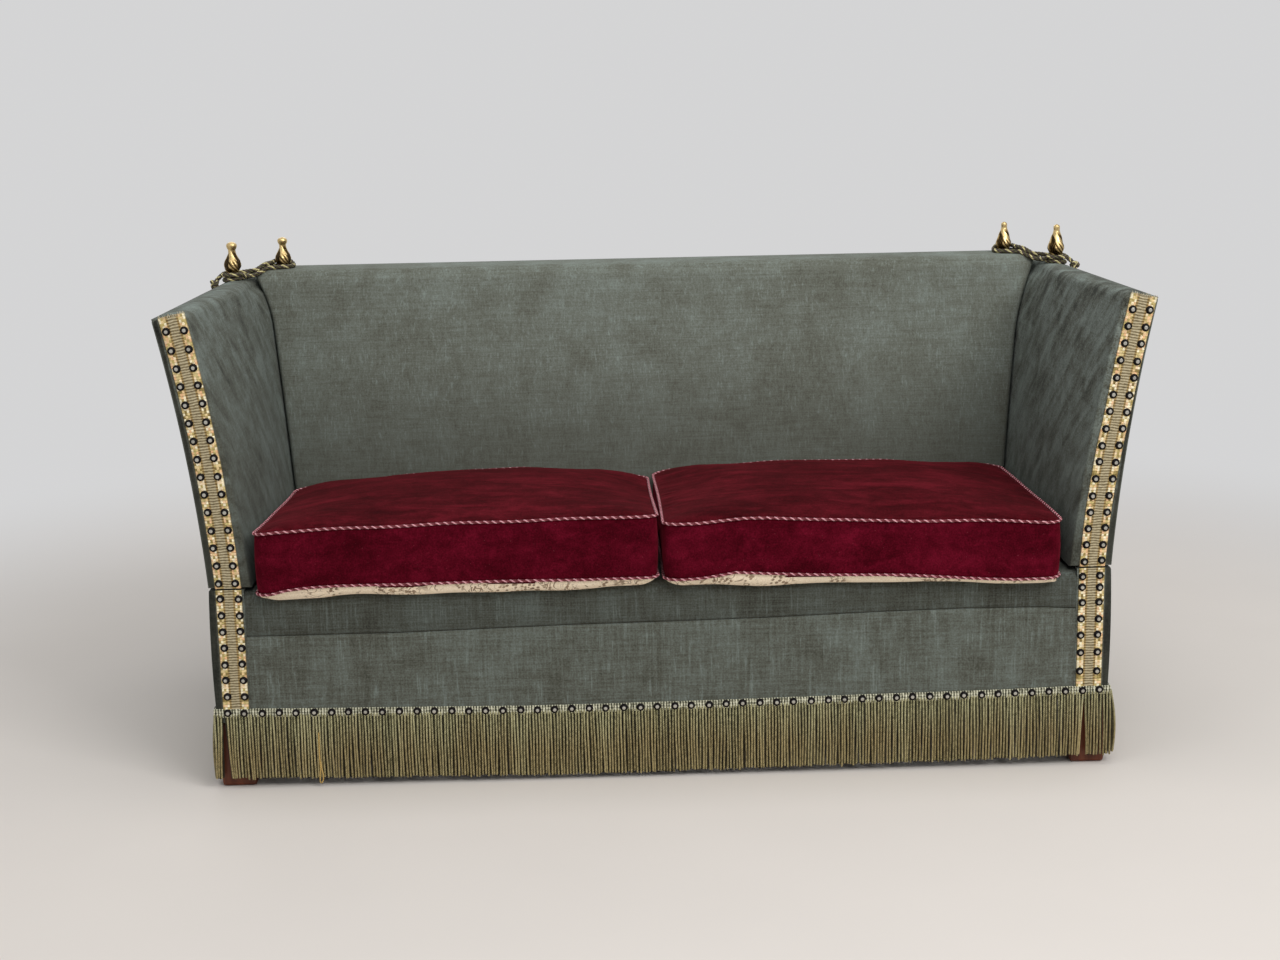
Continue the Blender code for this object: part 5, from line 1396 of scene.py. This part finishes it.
def make_cushion(side_name, side, finishes):
    """Box cushion: panels swollen between corded seams by a simulation, underside hanging over the lip."""
    shape = CUSHIONS[side_name]
    outline = cushion_outline(shape)
    middle = cushion_middle(shape)
    build = Build()
    rows = []

    def ring(scale, height):
        rows.append(np.column_stack([outline * scale, np.full(len(outline), height)]))

    for scale in (0.05, 0.35, 0.65, 0.88):
        ring(scale, 0.3545)
    ring(0.965, 0.3550)
    ring(0.990, 0.3570)
    for share in np.linspace(0, 1, 9):
        ring(1.0 + 0.006 * math.sin(math.pi * share), mix(LOW_SEAM, TOP_SEAM, share))
    for scale, rise in ((0.985, 0.0035), (0.95, 0.0060), (0.85, 0.0095), (0.65, 0.0120), (0.35, 0.0130),
                        (0.05, 0.0130)):
        ring(scale, TOP_SEAM + rise)
    build.grid(np.array(rows), np.zeros(len(outline) + 1), np.arange(len(rows)), True, caps=True)
    core = build.piece(f"cushion_core_{side_name}", finishes["velvet"])
    even = core.modifiers.new("even", "REMESH")
    even.mode = "VOXEL"
    even.voxel_size = 0.0065
    mesh = baked(core)
    start = read_points(mesh)
    edge = edge_distance(start[:, :2], outline)
    near_edge = edge < 0.006
    held = near_edge & ((np.abs(start[:, 2] - TOP_SEAM) < 0.0042) | (np.abs(start[:, 2] - LOW_SEAM) < 0.0042))
    resting = (start[:, 2] < 0.3560) & (start[:, 1] > 0.052 - CUSHION_HALF_DEPTH)
    under = start[:, 2] < LOW_SEAM - 0.001
    border = near_edge & ~under & (start[:, 2] < TOP_SEAM)
    caps = np.where(under, 0.016, np.where(border, 0.0055, 0.024))
    moved = swell(mesh, held | resting, 4.2, caps)
    write_points(mesh, moved)
    centres = np.array([polygon.center for polygon in mesh.polygons])
    lined = (centres[:, 2] < LOW_SEAM - 0.0002).astype(np.int32)
    inside = edge_distance(centres[:, :2], outline) > 0.002
    # Top panels take the darker velvet, painted shade for how their pile looks seen low from the front.
    lined[(centres[:, 2] > TOP_SEAM) & inside] = 2
    # The seams and the panels between them settle out of level
    x, y, z = moved.T.copy()
    top_by, low_by = top_stray(shape, x, y), low_stray(shape, x, y)
    share = np.clip((z - LOW_SEAM) / (TOP_SEAM - LOW_SEAM), 0, 1)
    fade = np.where(z < LOW_SEAM, 1 - smooth(LOW_SEAM - z, 0.0, 0.006), 1.0)
    moved[:, 2] += mix(low_by, top_by, share) * fade
    # The underside lies on the deck, and hangs clear of the rounded lip in front of it
    back = y + CUSHION_HALF_DEPTH + CUSHION_FRONT
    hang = smooth(-back, -0.020, 0.010) * smooth(back, -0.032, -0.012)
    across = np.clip(1 - (np.abs(x) / 0.325) ** 4, 0, 1)
    patchy = 0.75 + 0.5 * wander((v * 9, side * 3.0, 0) for v in x)
    more = curve(shape["hang"], x)
    moved[:, 2] -= under * (0.0125 * across**0.5 * patchy + more) * hang
    roll = 0.3375 + np.sqrt(np.maximum(0, 0.0186**2 - np.clip(0.018 - back, 0, 0.0186) ** 2)) - 0.0018
    floor = np.where(back > 0.018, DECK_TOP + GAP, roll)
    moved[:, 2] = np.where(under & (back > -0.0006), np.maximum(moved[:, 2], floor), moved[:, 2])
    moved[:, 2] = np.maximum(moved[:, 2], 0.3425 - more)
    # Small puckers along the corded seams
    arc = np.arctan2(y / CUSHION_HALF_DEPTH, x / shape["half"])
    outward = np.column_stack([moved[:, :2] / np.linalg.norm(moved[:, :2] + 1e-9, axis=1, keepdims=True),
                               np.ones(len(moved))])
    for seam, reach in ((TOP_SEAM, 0.020), (LOW_SEAM, 0.014)):
        far = np.sqrt(edge**2 + (start[:, 2] - seam) ** 2)
        pucker = wander((a * 26, seam * 40, side) for a in arc)
        near_seam = np.exp(-(((far - 0.009) / reach) ** 2)) * ~(held | resting | under)
        moved += outward * (0.0011 * pucker * near_seam)[:, None]
    write_points(mesh, moved + middle)
    mesh.materials.clear()
    mesh.materials.append(finishes["velvet"])
    mesh.materials.append(finishes["linen"])
    mesh.materials.append(finishes["velvet_top"])
    mesh.polygons.foreach_set("material_index", lined)
    rough = placed("cushion_rough", mesh)
    finer = rough.modifiers.new("finer", "SUBSURF")
    finer.levels = finer.render_levels = 1
    fine = baked(rough)
    cushion = settle(f"cushion_soft_{side_name}", fine, 75, f"cushion_{side_name}",
                     (f"cushion_{side_name}",))
    for name, seam, stray in (("top", TOP_SEAM, top_stray), ("low", LOW_SEAM, low_stray)):
        line = cushion_outline(shape, 0.0012)
        line = np.column_stack([line, seam + stray(shape, line[:, 0], line[:, 1])]) + middle
        line = np.concatenate([line, line[:1]])
        build = Build()
        twisted(build, line, 0.0054, 3, 0.0135, 6, 0.0018, loop=True)
        build.piece(f"cushion_piping_{name}_{side_name}", finishes["piping"], 70, f"cushion_{side_name}",
                    "velvet")


def read_points(mesh):
    points = np.zeros(len(mesh.vertices) * 3)
    mesh.vertices.foreach_get("co", points)
    return points.reshape(-1, 3)


def write_points(mesh, points):
    mesh.vertices.foreach_set("co", np.ascontiguousarray(points, np.float32).ravel())
    mesh.update()


def edge_distance(points, outline):
    """Distance in plan from each point to the outline."""
    best = np.full(len(points), np.inf)
    for first, second in zip(outline, np.roll(outline, -1, 0)):
        run = second - first
        share = np.clip(((points - first) @ run) / run.dot(run), 0, 1)
        best = np.minimum(best, np.linalg.norm(points - first - share[:, None] * run, axis=1))
    return best


def swell(mesh, held, pressure, caps):
    """Where cloth simulation moves the mesh's points under pressure. held are kept still, the rest capped."""
    scene = bpy.context.scene
    frames = 20
    piece = placed("swelling", mesh.copy())
    group = piece.vertex_groups.new(name="held")
    group.add(np.flatnonzero(held).tolist(), 1.0, "REPLACE")
    cloth = piece.modifiers.new("swell", "CLOTH")
    cloth.point_cache.frame_start = 1
    cloth.point_cache.frame_end = frames
    settings = cloth.settings
    settings.quality = 5
    settings.mass = 0.3
    settings.tension_stiffness = settings.compression_stiffness = 18
    settings.shear_stiffness = 8
    settings.bending_stiffness = 1.5
    settings.air_damping = 2
    settings.use_pressure = True
    settings.uniform_pressure_force = pressure
    settings.effector_weights.gravity = 0
    settings.vertex_group_mass = "held"
    start = read_points(mesh)
    for number in range(1, frames + 1):
        scene.frame_set(number)
    moved = read_points(baked(piece))
    scene.frame_set(1)
    shift = moved - start
    far = np.linalg.norm(shift, axis=1)
    keep = caps * np.tanh(far / caps) / np.maximum(far, 1e-9)
    return start + shift * keep[:, None]


# Cords


def finial_height():
    """Height of the arm's crest where its finial stands."""
    out, back = ARM_FINIAL
    lift = arm_height(back)
    return arm_place(1, back, lift, arm_place(1, back, lift, 0).x - out).z


def winding_route(side):
    """The cord from its stopper, round both finials, and down to the knot outside the arm, as in the model.
    It lies on the fabric between the finials, and its runs draw together there."""
    arm, back = finial_spot(side, ARM_FINIAL), finial_spot(side, BACK_FINIAL)
    inward = (back - arm).normalized()
    outward = Vector((side * abs(inward.y), abs(inward.x), 0))
    radius, pitch = 0.0205, 0.0095
    arm_rest, back_rest = finial_height() + 0.0110, BACK_CREST + 0.0048
    route = []

    def add(centre, angle, level):
        turn = math.radians(angle)
        spot = centre + radius * (inward * math.cos(turn) + outward * math.sin(turn))
        rest = arm_rest if centre is arm else back_rest
        route.append(spot + Vector((0, 0, rest + level * pitch)))

    def span(shares, lean, first, last, close, middle):
        """A run between the finials. Shares count from the arm's; lean is 1 outside, -1 inside. The run comes
        close to the line between the finials, with the middle level there."""
        for share in shares:
            drawn = float(np.interp(share, (0.0, 0.06, 0.28, 0.72, 0.94, 1.0),
                                    (radius, 0.0193, close, close, 0.0193, radius)))
            done = abs(share - shares[0]) / abs(shares[-1] - shares[0])
            level = mix(mix(first, last, done), middle, math.sin(math.pi * share) ** 0.7)
            rest = float(np.interp(share, (0, 0.2, 0.42, 0.64, 1),
                                   (arm_rest, saddle, saddle + 0.001, back_rest, back_rest)))
            spot = arm.lerp(back, share) + outward * lean * drawn
            route.append(spot + Vector((0, 0, rest + level * pitch)))

    saddle = finial_height() + 0.0060
    inner = (0.06, 0.16, 0.26, 0.36, 0.5, 0.64, 0.74, 0.84, 0.94)
    for share in np.linspace(0, 1, 5):
        add(back, mix(10, 108, share), 0.0)
    span(inner[::-1], 1, 0.0, 0.05, 0.0047, 0.0)
    for share in np.linspace(0, 1, 13):
        add(arm, mix(71, 289, share), mix(0.05, 0.30, share))
    span(inner, -1, 0.30, 0.05, 0.0047, 0.0)
    for share in np.linspace(0, 1, 13):
        add(back, mix(-109, 109, share), mix(0.05, 1.05, float(smooth(share, 0.30, 0.62))))
    span((0.94, 0.84, 0.74, 0.64, 0.54), 1, 1.0, 0.92, 0.0, 0.84)
    # The last run crosses over the first and lies outside it
    crossing = ((0.44, 0.0010, 0.0092), (0.36, 0.0042, 0.0099), (0.28, 0.0095, 0.0083),
                (0.20, 0.0160, 0.0070), (0.12, 0.0225, 0.0078), (0.04, 0.0280, 0.0086),
                (0.0, 0.0297, 0.0077))
    for share, across, over in crossing:
        route.append(arm.lerp(back, share) + outward * across + Vector((0, 0, saddle + over)))
    # Down over the arm's edge and into the knot
    end, slope, curl = 0.0300, 26, 0.0180
    run = curl * (math.sin(math.radians(66)) - math.sin(math.radians(slope)))
    fall = (end - run) * math.tan(math.radians(slope))
    for share in (0.35, 0.7, 1.0):
        spot = arm - inward * (end - run) * share + outward * mix(0.0297, 0.0232, share)
        route.append(spot + Vector((0, 0, arm_rest + 0.0027 - fall * share)))
    for share in (0.2, 0.4, 0.6, 0.8, 1.0):
        turn = math.radians(mix(slope, 66, share))
        ahead = end - run + curl * (math.sin(turn) - math.sin(math.radians(slope)))
        down = fall + curl * (math.cos(math.radians(slope)) - math.cos(turn))
        spot = arm - inward * ahead + outward * mix(0.0232, 0.0205, share)
        route.append(spot + Vector((0, 0, arm_rest + 0.0027 - down)))
    return np.array([tuple(p) for p in route])


def make_knot(name, centre, size, strand, body, finishes, turn):
    """A lump of cord crossed three times through itself."""
    t = np.linspace(0, 2 * math.pi, 73)
    loop = np.column_stack([np.sin(t) + 2 * np.sin(2 * t), -1.15 * np.sin(3 * t),
                            np.cos(t) - 2 * np.cos(2 * t)])
    spin = np.array(((math.cos(turn), -math.sin(turn), 0), (math.sin(turn), math.cos(turn), 0), (0, 0, 1)))
    build = Build()
    twisted(build, size * loop @ spin.T + np.asarray(centre), strand, 4, 0.016, 7, 0.0011, loop=True)
    return build.piece(name, finishes["ropes"], 60, body, "cord")


def make_cords(side_name, side, finishes):
    route = winding_route(side)
    fine = eased(resample(route, 0.003)[0], 5)
    build = Build()
    twisted(build, fine, CORD, 4, CORD_LAY, 7, 0.0016)
    winding = build.piece(f"cord_winding_rope_{side_name}", finishes["ropes"], 60, None, "cord",
                          (f"cord_winding_{side_name}",))
    back, arm = finial_spot(side, BACK_FINIAL, BACK_HEIGHT), finial_spot(side, ARM_FINIAL, BACK_HEIGHT)
    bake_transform(winding)
    # A grommet of the same cord beds the arm's finial
    turn = np.linspace(0, 2 * math.pi, 49)
    across, along = GROMMET * np.cos(turn), GROMMET * np.sin(turn)
    ring = np.column_stack([arm.x + across, arm.y + along, finial_height() + 0.0040 - 0.10 * side * across])
    build = Build()
    twisted(build, ring, CORD, 4, CORD_LAY, 7, 0.0016, loop=True)
    build.piece(f"cord_grommet_{side_name}", finishes["ropes"], 60, f"arm_{side_name}", "cord")
    foot = fine[-1] + (0, 0, 0.0006)
    knot = make_knot(f"cord_knot_{side_name}", foot, 0.0026, 0.0074, f"tassel_{side_name}", finishes,
                     0.5 * side)
    stopper = make_knot(f"cord_stopper_{side_name}", fine[0], 0.0014, 0.0052, "base", finishes, 0.9 * side)
    return Vector((route[-1][0], route[-1][1], TASSEL_TOP))


def make_plain(finishes):
    """Nodes whose shape is right keep it, with a finish of their own."""
    for name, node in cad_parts.items():
        if node.hide_render:
            continue
        if name.startswith("foot"):
            finish = finishes["stained"]
        elif name.startswith("hinge"):
            finish = finishes["steel"]
        elif name.startswith(("arm_frame", "back_post")):
            finish = finishes["beech_up"]
        elif name.startswith("side_rail") or name == "centre_stretcher":
            finish = finishes["beech_back"]
        elif name.endswith("rail"):
            finish = finishes["beech_across"]
        else:
            continue
        node.data.materials.clear()
        node.data.materials.append(finish)


def make_finishes():
    beech = (0.40, 0.27, 0.15), (0.60, 0.43, 0.26)
    return {
        # One velour covers every part, and each part's shade is painted shade for how much light reaches it:
        # the lip, 0.45, lies in the painted shadow of the cushions with some of its nap's own darker lie;
        # base 0.70, sides 0.73 and arms about 0.73 are drawn darker than the back, 0.98. low darkens arms and
        # back with painted shade towards the cushions.
        "arm_left": velour("velour_left_arm", (0.9, 0, 0), (24, 7, 34), 1.20, 0.95, 0.40, 0.73, (0.40, 0.80),
                           True, True),
        "arm_right": velour("velour_right_arm", (0.9, 0, 0), (24, 7, 34), 1.75, 1.70, 0.40, 0.72,
                            (0.40, 0.80), True, True),
        "stained": wood_finish("stained_wood", (0.062, 0.015, 0.007), (0.170, 0.046, 0.020), 2, 0.38, 0.12),
        "beech_up": wood_finish("beech_upright", *beech, 2),
        "beech_back": wood_finish("beech_front_to_back", *beech, 1),
        "beech_across": wood_finish("beech_across", *beech, 0),
        "steel": steel_finish(),
        "back": velour("velour_back", (0, 0, 0), (16, 16, 6), 0.34, 0.62, 0.52, 0.98, (0.43, 0.66)),
        "base": velour("velour_base", (0, 0, 0), (15, 15, 8), 0.42, 0.85, 0.72, 0.70),
        "side": velour("velour_sides", (0.9, 0, 0), (24, 7, 34), 0.58, 0.90, 0.55, 0.73, edge=True),
        "lip": velour("velour_lip_painted_shadow", (0, 0, 0), (15, 15, 8), 0.45, 0.85, 0.80, 0.45),
        "velvet": velvet("red_velvet", (0.066, 0.0016, 0.0066), (0.094, 0.0030, 0.0115), (1.0, 0.08, 0.14)),
        # The top panels' velvet is darker: painted shade, as velvet seen low across its pile from the front
        # looks darker.
        "velvet_top": velvet("velvet_top_painted_shade", (0.050, 0.0022, 0.0046), (0.072, 0.0040, 0.0080),
                             (0.62, 0.14, 0.15), 1.7),
        "linen": printed_linen(),
        "piping": [
            strand_finish("piping_pale", (0.52, 0.20, 0.23), (0.95, 0.52, 0.56), 0.004, sheen=0.1),
            strand_finish("piping_red", (0.070, 0.003, 0.008), (0.20, 0.020, 0.032), 0.004, sheen=0.1),
            strand_finish("piping_dark", (0.090, 0.006, 0.012), (0.30, 0.060, 0.075), 0.004, sheen=0.1),
        ],
        "welt": strand_finish("dark_welt", (0.010, 0.009, 0.007), (0.045, 0.038, 0.030), 0.004, sheen=0.05),
        "gold_thread": strand_finish("gold_thread", (0.25, 0.15, 0.035), (0.70, 0.48, 0.16), 0.004,
                                     sheen=0.05),
        "gimp": gimp_finish(),
        "thread": strand_finish("frayed_thread", (0.36, 0.30, 0.18), (0.72, 0.66, 0.50)),
        "nails": nail_finish(),
        "brass": brass_finish(),
        "strands": fringe_finish(),
        "header": header_finish(),
        "jute": jute_finish(),
        "lining": lining_finish(),
        "ropes": [
            strand_finish("cord_brown", (0.006, 0.004, 0.003), (0.075, 0.050, 0.036), 0.0045, sheen=0.05),
            strand_finish("cord_gold", (0.17, 0.14, 0.040), (0.82, 0.74, 0.38), 0.0045, sheen=0.05),
            strand_finish("cord_taupe", (0.010, 0.007, 0.006), (0.120, 0.085, 0.068), 0.0045, sheen=0.05),
            strand_finish("cord_olive", (0.012, 0.012, 0.004), (0.140, 0.130, 0.055), 0.0045, sheen=0.05),
        ],
    }


make_camera()
FINISHES = make_finishes()
for SIDE_NAME, SIDE in SIDES:
    make_cushion(SIDE_NAME, SIDE, FINISHES)
make_stage()
for SIDE_NAME, SIDE in SIDES:
    KNOT = make_cords(SIDE_NAME, SIDE, FINISHES)
    make_tassel(SIDE_NAME, SIDE, KNOT, FINISHES)
    make_arm(SIDE_NAME, SIDE, FINISHES)
    make_bands(SIDE_NAME, SIDE, FINISHES)
    make_side_skin(SIDE_NAME, SIDE, FINISHES)
    PLACE = finial_spot(SIDE, BACK_FINIAL, 0.842 + GAP)
    PROFILE = FINIALS[SIDE_NAME]
    SLIM = [(level, 0.95 * radius) for level, radius in PROFILE]
    make_finial(f"back_brass_{SIDE_NAME}", f"back_finial_{SIDE_NAME}", PLACE, 0, 0.063, SLIM, "base",
                FINISHES)
    PLACE = finial_spot(SIDE, ARM_FINIAL, finial_height() - 0.001 + GAP)
    make_finial(f"arm_brass_{SIDE_NAME}", f"arm_finial_{SIDE_NAME}", PLACE, 0.0100, 0.0665, PROFILE,
                f"arm_{SIDE_NAME}", FINISHES)
make_back(FINISHES)
make_deck(FINISHES)
make_fringes(FINISHES)
make_underside(FINISHES)
make_plain(FINISHES)
